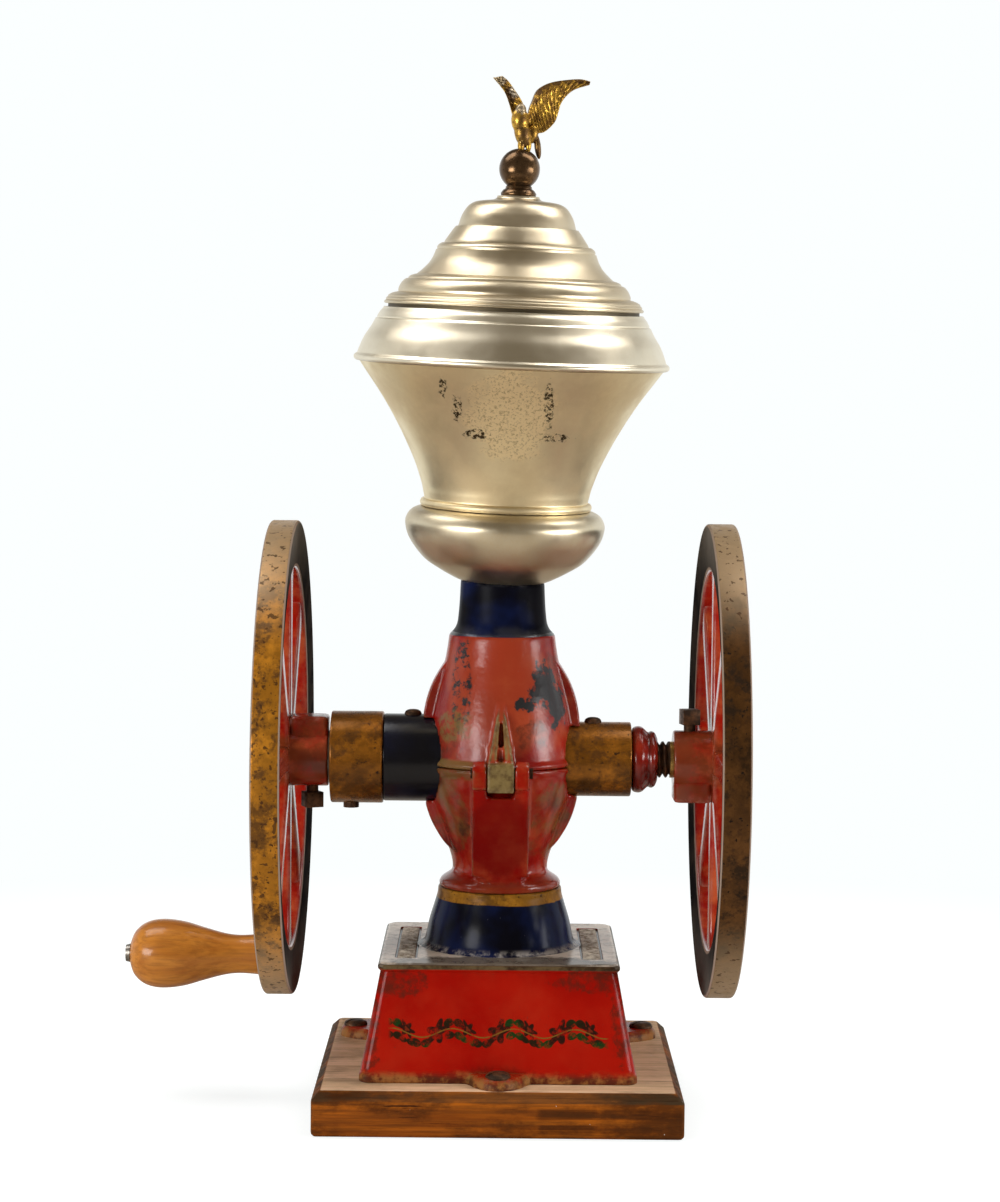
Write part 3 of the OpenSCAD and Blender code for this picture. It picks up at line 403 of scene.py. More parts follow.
rusty_steel = metal_finish("rusty_steel", RUST, RUST_DARK, 5, 0.42, 0.62, 0.45)
plain_steel = metal_finish("plain_steel", STEEL, (0.17, 0.15, 0.13), 9, 0.28, 0.42, 0.95)
bush_bronze = metal_finish("bush_bronze", (0.55, 0.36, 0.12), (0.33, 0.19, 0.06), 8, 0.25, 0.4, 0.95)
rib_silver = metal_finish("rib_silver", (0.66, 0.59, 0.49), (0.24, 0.185, 0.13), 4, 0.35, 0.5, 0.4)
burr_iron = metal_finish("burr_iron", (0.11, 0.11, 0.115), (0.05, 0.048, 0.046), 6, 0.42, 0.6, 0.8)


# %% Woods
def wood_finish(name, light, dark, stretch, band_mm, coat, rough):
    finish = Finish(name, coat=coat)
    bands = finish.patches(0.35, 0.68, band_mm, 4, 0.55, stretch=stretch, warp=0.4)
    fine = finish.patches(0.42, 0.68, band_mm * 0.22, 5, 0.6, stretch=stretch, shift=3.0)
    colour = finish.tint(bands, light, dark)
    colour = finish.tint(fine, colour, tuple(0.55 * c for c in dark), 0.45)
    finish.relief(fine, 0.08, 0.4)
    return finish.done(colour, finish.level(fine, rough, rough + 0.14))


grip_maple = wood_finish("grip_maple", (0.50, 0.188, 0.026), (0.36, 0.115, 0.014),
                         (0.10, 1, 1), 9, 0.25, 0.3)
drawer_wood = wood_finish("drawer_wood", (0.33, 0.17, 0.07), (0.22, 0.10, 0.038),
                          (0.06, 1, 1), 10, 0.1, 0.45)

# %% [markdown]
# ## Shape helpers
# Most of the mill is turned or spun, so most pieces are a profile swept round an axis. A profile is a few
# points joined by a smooth curve, or a polygon with its corners eased. Faces are then turned outwards.


# %% Shape helpers
def flow(points, steps=8):
    """A smooth curve through the points."""
    path = np.array(points, float)
    held = np.vstack([path[:1], path, path[-1:]])
    made = []
    for i in range(len(path) - 1):
        a, b, c, d = held[i:i + 4]
        for t in np.arange(steps) / steps:
            made.append(0.5 * (2 * b + (c - a) * t + (2 * a - 5 * b + 4 * c - d) * t ** 2
                               + (3 * b - a - 3 * c + d) * t ** 3))
    return np.array(made + [path[-1]])


def eased(corners, radius, steps=4):
    """A closed outline with each corner rounded."""
    path = np.array(corners, float)
    made = []
    for i, corner in enumerate(path):
        before = path[i - 1] - corner
        after = path[(i + 1) % len(path)] - corner
        cut = min(radius, 0.45 * np.linalg.norm(before), 0.45 * np.linalg.norm(after))
        start = corner + before / np.linalg.norm(before) * cut
        end = corner + after / np.linalg.norm(after) * cut
        for t in np.linspace(0, 1, steps + 1):
            made.append((1 - t) ** 2 * start + 2 * t * (1 - t) * corner + t ** 2 * end)
    return np.array(made)


def sheet(outside, thickness):
    """A closed outline: the outside of a sheet and its inside, drawn back down."""
    side = np.array(outside, float)
    run = np.gradient(side, axis=0)
    run /= np.linalg.norm(run, axis=1)[:, None]
    inner = side + thickness * np.stack([-run[:, 1], run[:, 0]], axis=1)
    return np.vstack([side, inner[::-1]])


def plain_mesh(shape, name):
    """A new mesh from a bmesh, which is freed."""
    mesh = bpy.data.meshes.new(name)
    shape.to_mesh(mesh)
    shape.free()
    return mesh


def shaded(mesh, sharp_deg=35.0):
    """Smooth shading between sharp edges."""
    mesh.shade_smooth()
    mesh.set_sharp_from_angle(angle=math.radians(sharp_deg))
    return mesh


def clean_mesh(name, points_m, faces, sharp_deg=35.0):
    """A closed mesh with merged points, outward faces and smooth shading between sharp edges."""
    shape = bmesh.new()
    corners = [shape.verts.new(p) for p in points_m]
    for face in faces:
        shape.faces.new([corners[i] for i in face])
    bmesh.ops.remove_doubles(shape, verts=shape.verts, dist=2e-6)
    bmesh.ops.recalc_face_normals(shape, faces=shape.faces)
    return shaded(plain_mesh(shape, name), sharp_deg)


def lathe(name, outline_mm, place, segments=128, sharp_deg=35.0):
    """A closed outline of (radius, height) turned about the Z axis of a place."""
    outline = np.array(outline_mm, float)
    turn = np.linspace(0, 2 * math.pi, segments, endpoint=False)
    rings = [Vector((r * math.cos(a), r * math.sin(a), z)) * MM for a in turn for r, z in outline]
    count = len(outline)
    faces = []
    for s in range(segments):
        for k in range(count):
            here, there = s * count, (s + 1) % segments * count
            faces.append((here + k, there + k, there + (k + 1) % count, here + (k + 1) % count))
    return clean_mesh(name, [place @ p for p in rings], faces, sharp_deg)


def loft(name, sections_mm, sharp_deg=35.0):
    """A solid through closed sections that have the same number of points."""
    count = len(sections_mm[0])
    points = [Vector(p) * MM for section in sections_mm for p in section]
    faces = []
    for s in range(len(sections_mm) - 1):
        for k in range(count):
            a, b = s * count + k, s * count + (k + 1) % count
            faces.append((a, b, b + count, a + count))
    faces.append(tuple(range(count))[::-1])
    faces.append(tuple(range(len(points) - count, len(points))))
    return clean_mesh(name, points, faces, sharp_deg)


def rounded_rectangle(half_x, half_y, radius, z, steps=6):
    """The corner points of a level rectangle with round corners."""
    made = []
    for corner, (sx, sy) in enumerate(((1, 1), (-1, 1), (-1, -1), (1, -1))):
        for t in np.linspace(0, math.pi / 2, steps + 1):
            a = t + corner * math.pi / 2
            made.append((sx * (half_x - radius) + radius * math.cos(a),
                         sy * (half_y - radius) + radius * math.sin(a), z))
    return made


def ellipsoid(centre, radii, tilt_deg=0.0):
    shape = bmesh.new()
    bmesh.ops.create_icosphere(shape, subdivisions=4, radius=1.0)
    place = (Matrix.Translation(Vector(centre) * MM) @ Matrix.Rotation(math.radians(tilt_deg), 4, "Y")
             @ Matrix.Diagonal((*(r * MM for r in radii), 1)))
    bmesh.ops.transform(shape, matrix=place, verts=shape.verts)
    return plain_mesh(shape, "ellipsoid")


def temporary(mesh):
    obj = bpy.data.objects.new("temporary", mesh)
    scene.collection.objects.link(obj)
    return obj


def settled(obj):
    """The plain mesh that an object's modifiers make. The object is removed."""
    bpy.context.view_layer.update()
    mesh = bpy.data.meshes.new_from_object(obj.evaluated_get(bpy.context.evaluated_depsgraph_get()))
    bpy.data.objects.remove(obj)
    return mesh


def solid_copy(node):
    """A CAD solid with its points merged."""
    shape = bmesh.new()
    shape.from_mesh(nodes[node].data)
    bmesh.ops.remove_doubles(shape, verts=shape.verts, dist=5e-6)
    return shape


def melted(mesh, voxel_mm, rounds):
    """A mesh rebuilt from small voxels and smoothed a little."""
    obj = temporary(mesh)
    remesh = obj.modifiers.new("melt", "REMESH")
    remesh.mode = "VOXEL"
    remesh.voxel_size = voxel_mm * MM
    smooth = obj.modifiers.new("soften", "SMOOTH")
    smooth.factor = 0.5
    smooth.iterations = rounds
    made = settled(obj)
    made.shade_smooth()
    return made


def cast_copy(node, voxel_mm, rounds, *extra):
    """A copy of a CAD solid with its edges softened, as sand casting leaves them, and swellings melted in."""
    shape = solid_copy(node)
    for swelling in extra:
        shape.from_mesh(swelling)
    return melted(plain_mesh(shape, node + "_cast"), voxel_mm, rounds)


def eased_copy(node, ease_mm):
    """A copy of a simple CAD solid with its edges bevelled."""
    shape = solid_copy(node)
    bmesh.ops.dissolve_limit(shape, angle_limit=math.radians(1), verts=shape.verts, edges=shape.edges)
    obj = temporary(plain_mesh(shape, node + "_eased"))
    bevel = obj.modifiers.new("ease", "BEVEL")
    bevel.width = ease_mm * MM
    bevel.segments = 3
    bevel.limit_method = "ANGLE"
    bevel.angle_limit = math.radians(40)
    return shaded(settled(obj))


def joined(meshes, name):
    """Several meshes as one."""
    shape = bmesh.new()
    for mesh in meshes:
        shape.from_mesh(mesh)
    return plain_mesh(shape, name)


def combine(mesh, other, operation):
    """One exact boolean of two closed meshes."""
    obj, tool = temporary(mesh), temporary(other)
    step = obj.modifiers.new("combine", "BOOLEAN")
    step.object = tool
    step.operation = operation
    step.solver = "EXACT"
    made = settled(obj)
    bpy.data.objects.remove(tool)
    return shaded(made)


def dent(mesh, size_mm, depth_mm, seed=0.0):
    """Uneven sheet or casting: each point moves a little along its normal."""
    points = np.empty(3 * len(mesh.vertices))
    normals = np.empty(3 * len(mesh.vertices))
    mesh.vertices.foreach_get("co", points)
    mesh.vertex_normals.foreach_get("vector", normals)
    places = points.reshape(-1, 3) / (size_mm * MM) + seed
    depth = np.array([noise.noise(place) for place in places]) * depth_mm * MM
    mesh.vertices.foreach_set("co", points + normals * np.repeat(depth, 3))
    mesh.update()
    return mesh


def show(name, mesh, finish, body, slot, *stands_for):
    """A finished piece on its body."""
    obj = bpy.data.objects.new(name, mesh)
    scene.collection.objects.link(obj)
    if finish is not None:
        mesh.materials.clear()
        mesh.materials.append(finish)
    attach(obj, body)
    if stands_for:
        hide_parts(*stands_for)
    return obj


# %% [markdown]
# ## Node trees for what repeats
# Screws, spokes and ribs repeat, so Geometry Nodes place them. One tree sets a part on the points of a mesh,
# one sets it round an axis and one sets it along a line. Each ends with Realize Instances and Set Material,
# and the result becomes a plain mesh.


# %% Node trees
def new_tree(name, sockets):
    tree = bpy.data.node_groups.new(name, "GeometryNodeTree")
    for label, kind in sockets:
        tree.interface.new_socket(label, in_out="INPUT", socket_type=kind)
    tree.interface.new_socket("Mesh", in_out="OUTPUT", socket_type="NodeSocketGeometry")
    return tree


def close_tree(tree, source, points, rotation):
    """Instances on the points, made real and given their material."""
    part = tree.nodes.new("GeometryNodeObjectInfo")
    tree.links.new(source.outputs["Part"], part.inputs["Object"])
    copies = tree.nodes.new("GeometryNodeInstanceOnPoints")
    tree.links.new(points, copies.inputs["Points"])
    tree.links.new(part.outputs["Geometry"], copies.inputs["Instance"])
    if rotation is not None:
        tree.links.new(rotation, copies.inputs["Rotation"])
    real = tree.nodes.new("GeometryNodeRealizeInstances")
    painted = tree.nodes.new("GeometryNodeSetMaterial")
    end = tree.nodes.new("NodeGroupOutput")
    tree.links.new(copies.outputs[0], real.inputs[0])
    tree.links.new(real.outputs[0], painted.inputs["Geometry"])
    tree.links.new(source.outputs["Material"], painted.inputs["Material"])
    tree.links.new(painted.outputs[0], end.inputs[0])
    return tree


def tree_on_places():
    """A part on every point of the start mesh, turned about Z."""
    tree = new_tree("parts_on_places", [("Places", "NodeSocketGeometry"), ("Part", "NodeSocketObject"),
                                        ("Turn", "NodeSocketFloat"), ("Material", "NodeSocketMaterial")])
    source = tree.nodes.new("NodeGroupInput")
    euler = tree.nodes.new("ShaderNodeCombineXYZ")
    tree.links.new(source.outputs["Turn"], euler.inputs["Z"])
    rotation = tree.nodes.new("FunctionNodeEulerToRotation")
    tree.links.new(euler.outputs[0], rotation.inputs[0])
    return close_tree(tree, source, source.outputs["Places"], rotation.outputs[0])


def tree_round_axis():
    """A part repeated round the X axis."""
    tree = new_tree("parts_round_axis", [("Places", "NodeSocketGeometry"), ("Part", "NodeSocketObject"),
                                         ("Count", "NodeSocketInt"), ("Material", "NodeSocketMaterial")])
    source = tree.nodes.new("NodeGroupInput")
    points = tree.nodes.new("GeometryNodeMeshLine")
    tree.links.new(source.outputs["Count"], points.inputs["Count"])
    points.inputs["Offset"].default_value = (0, 0, 0)
    index = tree.nodes.new("GeometryNodeInputIndex")
    share = tree.nodes.new("ShaderNodeMath")
    share.operation = "DIVIDE"
    tree.links.new(index.outputs[0], share.inputs[0])
    tree.links.new(source.outputs["Count"], share.inputs[1])
    angle = tree.nodes.new("ShaderNodeMath")
    angle.operation = "MULTIPLY"
    angle.inputs[1].default_value = 2 * math.pi
    tree.links.new(share.outputs[0], angle.inputs[0])
    euler = tree.nodes.new("ShaderNodeCombineXYZ")
    tree.links.new(angle.outputs[0], euler.inputs["X"])
    rotation = tree.nodes.new("FunctionNodeEulerToRotation")
    tree.links.new(euler.outputs[0], rotation.inputs[0])
    return close_tree(tree, source, points.outputs[0], rotation.outputs[0])


def tree_along_line():
    """A part repeated along a line."""
    tree = new_tree("parts_along_line", [("Places", "NodeSocketGeometry"), ("Part", "NodeSocketObject"),
                                         ("Count", "NodeSocketInt"), ("Start", "NodeSocketVector"),
                                         ("Step", "NodeSocketVector"), ("Material", "NodeSocketMaterial")])
    source = tree.nodes.new("NodeGroupInput")
    points = tree.nodes.new("GeometryNodeMeshLine")
    tree.links.new(source.outputs["Count"], points.inputs["Count"])
    tree.links.new(source.outputs["Start"], points.inputs["Start Location"])
    tree.links.new(source.outputs["Step"], points.inputs["Offset"])
    return close_tree(tree, source, points.outputs[0], None)


def grow(tree, part_mesh, settings, places_mm=((0, 0, 0),)):
    """The plain mesh that a node tree makes from one part."""
    start = bpy.data.meshes.new("places")
    start.from_pydata([Vector(p) * MM for p in places_mm], [], [])
    part = temporary(part_mesh)
    host = temporary(start)
    modifier = host.modifiers.new("grow", "NODES")
    modifier.node_group = tree
    keys = {item.name: item.identifier for item in tree.interface.items_tree if item.in_out == "INPUT"}
    modifier[keys["Part"]] = part
    for label, value in settings.items():
        modifier[keys[label]] = value
    mesh = settled(host)
    bpy.data.objects.remove(part)
    return shaded(mesh)


on_places = tree_on_places()
round_axis = tree_round_axis()
along_line = tree_along_line()
print("node trees:", on_places.name, round_axis.name, along_line.name)

# %% [markdown]
# ## Wooden board
# The board is an old plank with bevelled top edges and rounded lower corners. Its front edge shows orange-
# brown grain, the bevel is dark with dirt and the top has greyed. One material does all three by height and
# normal.


# %% Wooden board
def board_finish():
    finish = Finish("board_wood", specular=0.04)
    along = (0.045, 1, 1)
    bands = finish.patches(0.34, 0.66, 11, 5, 0.6, stretch=along, warp=0.5)
    fine = finish.patches(0.40, 0.66, 2.2, 6, 0.65, stretch=(0.035, 1, 1), shift=2.0)
    side = finish.tint(bands, (0.40, 0.105, 0.007), (0.15, 0.034, 0.004))
    aged = finish.patches(0.46, 0.62, 34, 7, 0.68, stretch=(0.45, 1, 1), shift=4.0)
    side = finish.tint(aged, side, (0.050, 0.014, 0.003), 0.85)
    burnt = finish.most(finish.spot((38, -100, 14), (16, 60, 20), 0.8, 26.0),
                        finish.spot((92, -100, 18), (34, 60, 12), 0.8, 26.0),
                        finish.spot((-96, -100, 22), (30, 60, 8), 0.8, 26.0))
    burnt = finish.times(burnt, finish.rise(bands, 0.1, 0.8))
    side = finish.tint(burnt, side, (0.034, 0.011, 0.003), 0.7)
    top = finish.tint(bands, (0.78, 0.52, 0.32), (0.66, 0.43, 0.25))
    grime = finish.patches(0.44, 0.66, 24, 8, 0.7, stretch=(0.6, 1, 1), shift=7.0)
    top = finish.tint(grime, top, (0.20, 0.120, 0.062), 0.45)
    across, _, up = finish.add("ShaderNodeSeparateXYZ", {0: finish.geometry["Normal"]}).outputs
    pores = finish.patches(0.40, 0.64, 1.6, 5, 0.7, shift=8.0)
    end_grain = finish.tint(pores, (0.19, 0.068, 0.016), (0.075, 0.026, 0.007))
    side = finish.tint(finish.rise(finish.absolute(across), 0.6, 0.9), side, end_grain)
    above = finish.rise(up, 0.86, 0.97)
    colour = finish.tint(above, side, top)
    dirt = finish.between(up, 0.25, 0.86, 0.08)
    ends = finish.rise(finish.absolute(finish.xyz[0]), 45 * MM, 80 * MM)
    stain = finish.patches(0.34, 0.58, 26, 7, 0.7, stretch=(0.35, 1, 1))
    dirt = finish.times(dirt, finish.times(stain, finish.level(ends, 0.65, 0.98)))
    colour = finish.tint(dirt, colour, (0.050, 0.030, 0.014))
    lines = finish.times(fine, finish.level(above, 0.5, 0.22))
    colour = finish.tint(lines, colour, (0.050, 0.020, 0.006))
    cracks = finish.patches(0.64, 0.70, 1.7, 4, 0.6, stretch=(0.03, 1, 1), shift=9.0)
    colour = finish.tint(cracks, colour, (0.022, 0.008, 0.003))
    chips = finish.patches(0.765, 0.78, 3.4, 2, 0.5, shift=6.0)
    colour = finish.tint(chips, colour, (0.62, 0.55, 0.46))
    finish.relief(fine, 0.25, 0.7)
    return finish.done(colour, finish.level(fine, 0.5, 0.68))


def board_mesh():
    low, high = (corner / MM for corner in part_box("base_board"))
    half_x, half_y = high.x, high.y
    bevel, tall = 5.0, high.z
    sections = [rounded_rectangle(half_x - 1.2, half_y - 1.2, 2.2, 0.0),
                rounded_rectangle(half_x - 0.2, half_y - 0.2, 2.6, 1.2),
                rounded_rectangle(half_x, half_y, 2.6, 2.6),
                rounded_rectangle(half_x, half_y, 2.6, tall - bevel - 0.5),
                rounded_rectangle(half_x - 0.35, half_y - 0.35, 2.4, tall - bevel + 0.3),
                rounded_rectangle(half_x - bevel + 0.5, half_y - bevel + 0.5, 2.2, tall - 0.45),
                rounded_rectangle(half_x - bevel - 0.5, half_y - bevel - 0.5, 2.0, tall)]
    return loft("board", sections, 30)


show("board", board_mesh(), board_finish(), "frame", "board_wood", "base_board")

# %% [markdown]
# ## Cast base
# The base is a hollow box that narrows upward, with a beaded edge round its top plate and three screw lugs
# that flow out of its foot. The body is lofted from rounded rectangles, the lugs are swept from a flowing
# outline, and booleans join them and cut the drawer opening. Plain ribs fill the two sunk bands of the
# plate.

# %% Base colours
BORDER_Z = 52.5
BORDER_STEP = 34.0
BORDER_HALF = 62.0


def border_layers(finish, paint, front):
    """A worn painted border on the front: dark flowers and green leaves on a thin gold stem."""
    x, z = finish.xyz[0], finish.xyz[2]
    wave = finish.math("SINE", finish.times(x, 2 * math.pi / (BORDER_STEP * MM)))
    rise = finish.less(z, finish.plus(finish.times(wave, 2.4 * MM), BORDER_Z * MM))
    stem = finish.rise(finish.absolute(rise), 0.55 * MM, 0.2 * MM)

    def blossom(shift_mm, up_mm, radius_mm, petals, depth=0.24):
        """A flower with round petals in each step of the border. Two deep petals are a pair of leaves."""
        shifted = finish.plus(x, (BORDER_STEP / 2 - shift_mm) * MM)
        across = finish.less(finish.math("FLOORED_MODULO", shifted, BORDER_STEP * MM), BORDER_STEP / 2 * MM)
        along = finish.less(rise, up_mm * MM)
        away = finish.length(across, along)
        turn = finish.times(finish.math("ARCTAN2", along, across), petals)
        edge = finish.plus(finish.times(finish.math("COSINE", turn), depth * radius_mm * MM),
                           (1 - depth) * radius_mm * MM)
        return finish.rise(finish.less(away, edge), 0.45 * MM, -0.45 * MM)

    flowers = finish.most(blossom(0, 0.4, 7.0, 5), blossom(17, 2.0, 4.8, 6))
    hearts = finish.most(blossom(0, 0.4, 2.2, 3), blossom(17, 2.0, 1.5, 3))
    leaves = finish.most(blossom(9, 3.4, 5.6, 2, 0.42), blossom(9.5, -3.4, 5.2, 2, 0.42),
                         blossom(-9, -3.4, 5.6, 2, 0.42), blossom(17, -4.2, 4.4, 2, 0.42))
    inside = finish.rise(finish.absolute(x), BORDER_HALF * MM, (BORDER_HALF - 3) * MM)
    kept = finish.times(finish.patches(0.32, 0.52, 6, 8, 0.75, shift=8.0), front)
    kept = finish.times(kept, inside)
    green = finish.tint(finish.patches(0.44, 0.56, 14, 2), (0.016, 0.010, 0.004), (0.009, 0.030, 0.006))
    paint = finish.tint(finish.times(leaves, kept), paint, green)
    paint = finish.tint(finish.times(flowers, kept), paint, (0.022, 0.007, 0.004))
    paint = finish.tint(finish.times(hearts, kept), paint, (0.13, 0.018, 0.006))
    return finish.tint(finish.times(stem, kept), paint, (0.16, 0.075, 0.012))


def base_finish():
    finish = Finish("base_red", specular=0.09)
    paint, worn = red_layers(finish, fade=0.05, wear=0.8, deep=(0.27, 0.003, 0.001))
    z = finish.xyz[2]
    normal = finish.add("ShaderNodeSeparateXYZ", {0: finish.geometry["Normal"]}).outputs
    front = finish.rise(normal[1], -0.6, -0.85)
    paint = border_layers(finish, paint, front)
    smudge = finish.most(finish.spot((58, -70, 82), (26, 16, 7), 1.0),
                         finish.spot((-60, -70, 80), (20, 16, 9), 1.0),
                         finish.spot((70, -72, 62), (7, 14, 26), 1.0),
                         finish.spot((-72, -74, 56), (6, 14, 26), 1.0))
    smudge = finish.times(smudge, finish.patches(0.36, 0.62, 7, 8, 0.75, shift=2.0))
    paint = finish.tint(smudge, paint, (0.060, 0.012, 0.006), 0.8)
    # bronze wear round the foot and on the lugs
    foot = finish.rise(finish.plus(z, finish.times(finish.noise(12, 5, 0.6), 7 * MM)), 36 * MM, 30.5 * MM)
    bronze = finish.tint(finish.patches(0.42, 0.6, 9, 6, 0.7, shift=4.0), (0.26, 0.12, 0.032),
                         (0.045, 0.018, 0.007))
    paint = finish.tint(foot, paint, bronze, 0.85)
    # the plate on top is rubbed to a pale grey, with a bronze bead round it
    bead = finish.between(z, 87.0 * MM, 89.4 * MM, 0.4 * MM)
    olive = finish.tint(finish.patches(0.4, 0.62, 14, 6, 0.7), (0.10, 0.066, 0.030), (0.030, 0.016, 0.008))
    paint = finish.tint(bead, paint, olive)
    plate = finish.times(finish.rise(normal[2], 0.5, 0.8), finish.rise(z, 87.5 * MM, 88.2 * MM))
    grey = finish.tint(finish.patches(0.45, 0.74, 11, 8, 0.7), (0.72, 0.62, 0.50), (0.14, 0.105, 0.072))
    stain = finish.spot((0, -60, base_top), (64, 18, 8), 0.5, 12.0)
    grey = finish.tint(stain, grey, (0.050, 0.034, 0.021), 0.85)
    paint = finish.tint(plate, paint, grey)
    sunk = finish.times(plate, finish.rise(z, (base_top - 0.4) * MM, (base_top - 0.7) * MM))
    paint = finish.tint(sunk, paint, (0.060, 0.042, 0.026))
    cast_skin(finish, 0.08)
    return finish.done(paint, finish.level(finish.most(worn, foot), 0.2, 0.46))


# %% Base shape
FOOT_HALF, WALL_LEAN, WALL_TALL = 77.5, 11.5, 62
EDGE_TALL = 4.8
LUG_OUT, LUG_BACK = 85.5, 48.0
DRAWER_HALF = 56.4
BAND_X = 52.5


def lug_outline(reach_mm):
    """Half a flowing lug, from the wall out to its round end, mirrored to a whole."""
    half = flow([(30, 4), (25, 2.4), (19.5, -1.4), (15.6, -6), (13.2, -10.6), (9.2, -15.6), (4.7, -18.5),
                 (0, -19.4)], 5)
    half = [(x, y * reach_mm / 19.4 if y < 0 else y) for x, y in half]
    return half + [(-x, y) for x, y in half[-2::-1]]


def lug_mesh(turn_deg, wall_mm, shift_mm):
    outline = lug_outline(20.0)
    turn = Matrix.Rotation(math.radians(turn_deg), 4, "Z")
    sections = []
    for z, inset in ((0, 0.0), (3.2, 0.2), (5.0, 1.0), (6.0, 2.2)):
        scale = 1 - inset / 14
        level = [turn @ Vector((x * scale + shift_mm, y * scale - wall_mm, board_top + z))
                 for x, y in outline]
        sections.append([tuple(p) for p in level])
    return loft("lug", sections)


def base_half(z):
    """Half the width of the base at a height."""
    return FOOT_HALF - (z - board_top) * WALL_LEAN / WALL_TALL


def base_mesh():
    foot, edge = base_half(board_top), base_half(base_top - EDGE_TALL)
    levels = [(board_top, foot - 0.7), (board_top + 0.7, foot), (board_top + 4.2, foot - 0.1),
              (board_top + 5.4, base_half(board_top + 5.4)), (base_top - EDGE_TALL, edge),
              (base_top - 4.2, edge + 0.5), (base_top - 3.2, edge + 1.3), (base_top - 2.0, edge + 1.4),
              (base_top - 0.8, edge + 0.8), (base_top, edge - 0.9)]
    body = loft("base", [rounded_rectangle(half, half, 5.5, z) for z, half in levels])
    for turn, shift in ((0, 0.0), (-90, -LUG_BACK), (90, LUG_BACK)):
        body = combine(body, lug_mesh(turn, foot - 3.0, shift), "UNION")
    cavity = [rounded_rectangle(71.4, 71.4, 3, board_top - 2),
              rounded_rectangle(60.5, 60.5, 3, base_top - 7)]
    body = combine(body, loft("cavity", cavity), "DIFFERENCE")
    opening = [rounded_rectangle(DRAWER_HALF, 30, 0.6, board_top - 2),
               rounded_rectangle(DRAWER_HALF, 30, 0.6, board_top + 41)]
    opening = [[(x, y + 75, z) for x, y, z in section] for section in opening]
    body = combine(body, loft("opening", opening), "DIFFERENCE")
    for side in (-1, 1):
        band = [rounded_rectangle(6.2, 49, 1.5, base_top - 0.9),
                rounded_rectangle(6.6, 49.4, 1.5, base_top + 1)]
        band = [[(x + side * BAND_X, y, z) for x, y, z in section] for section in band]
        body = combine(body, loft("band", band), "DIFFERENCE")
    bore = lathe("bore", [(0.0, base_top - 12), (20.0, base_top - 12), (20.0, base_top + 4),
                          (0.0, base_top + 4)], Matrix(), 64)
    return combine(body, bore, "DIFFERENCE")


def refine(mesh, longest_mm):
    """Split long edges, so that Pointiness stays close to the edge that it is found on."""
    work = bmesh.new()
    work.from_mesh(mesh)
    for _ in range(7):
        bmesh.ops.triangulate(work, faces=work.faces)
        long_edges = [edge for edge in work.edges if edge.calc_length() > longest_mm * MM]
        if not long_edges:
            break
        bmesh.ops.subdivide_edges(work, edges=long_edges, cuts=1)
    bmesh.ops.triangulate(work, faces=work.faces)
    work.to_mesh(mesh)
    work.free()
    return mesh


base_red = base_finish()
base_cast = refine(base_mesh(), 6.0)
show("base", base_cast, base_red, "frame", "red_paint", "base_casting")
print("base faces:", len(base_cast.polygons))

rib = loft("rib", [rounded_rectangle(5.2, 1.1, 0.6, -1.0, 3), rounded_rectangle(5.0, 0.9, 0.6, 0.4, 3),
                   rounded_rectangle(4.6, 0.5, 0.4, 0.8, 3)])
RIB_COUNT, RIB_STEP = 25, 3.8
ribs = []
for side in (-1, 1):
    first = Vector((side * BAND_X, -RIB_STEP * (RIB_COUNT - 1) / 2, base_top - 0.6)) * MM
    ribs.append(grow(along_line, rib.copy(), {"Count": RIB_COUNT, "Start": first,
                                              "Step": (0, RIB_STEP * MM, 0), "Material": rib_silver}))
show("plate_ribs", joined(ribs, "plate_ribs"), rib_silver, "frame", "red_paint")
print("ribs:", 2 * RIB_COUNT)


# %% [markdown]
# ## Pedestal
# The round pedestal is cast with the base but painted navy, with a hand-painted gold ring at its top. It is
# a turned profile with a wide fillet at its foot. The ring's edges waver, so its height is mixed with noise.

# %% Pedestal
def pedestal_finish():
    finish = Finish("pedestal_navy", specular=0.08)
    paint = navy_layers(finish)
    height = finish.plus(finish.xyz[2], finish.times(finish.noise(18, 3), 3.4 * MM))
    ring = finish.between(height, (pedestal_top - 4.6) * MM, (pedestal_top + 6) * MM, 0.35 * MM)
    gold, _ = bronze_layers(finish, (0.42, 0.18, 0.018), BRONZE_BROWN, 0.6)
    paint = finish.tint(ring, paint, gold)
    foot = finish.rise(finish.xyz[2], (base_top + 4) * MM, (base_top + 0.6) * MM)
    foot = finish.times(foot, finish.patches(0.42, 0.62, 9, 6, 0.7, shift=5.0))
    paint = finish.tint(foot, paint, (0.30, 0.27, 0.24))
    cast_skin(finish, 0.10)
    return finish.done(paint, finish.level(ring, 0.22, 0.3))


pedestal_side = flow([(47.5, base_top - 0.2), (45.2, base_top + 0.5), (43.5, base_top + 2.4),
                      (42.5, base_top + 5.4), (40.4, base_top + 14.8), (37.6, base_top + 24),
                      (35.9, base_top + 30), (35.6, base_top + 33), (34.9, pedestal_top - 0.1)], 6)
pedestal_outline = np.vstack([pedestal_side, [(19.0, pedestal_top - 0.1), (19.0, base_top - 0.2)]])
show("pedestal", lathe("pedestal", pedestal_outline, Matrix()), pedestal_finish(), "frame", "navy_paint")


# %% [markdown]
# ## Casing halves
# The egg-shaped casing is sand cast: it has no sharp edge anywhere. A copy of each solid is rebuilt from
# small voxels and smoothed a little, which rounds every edge and fills every corner as a casting does.

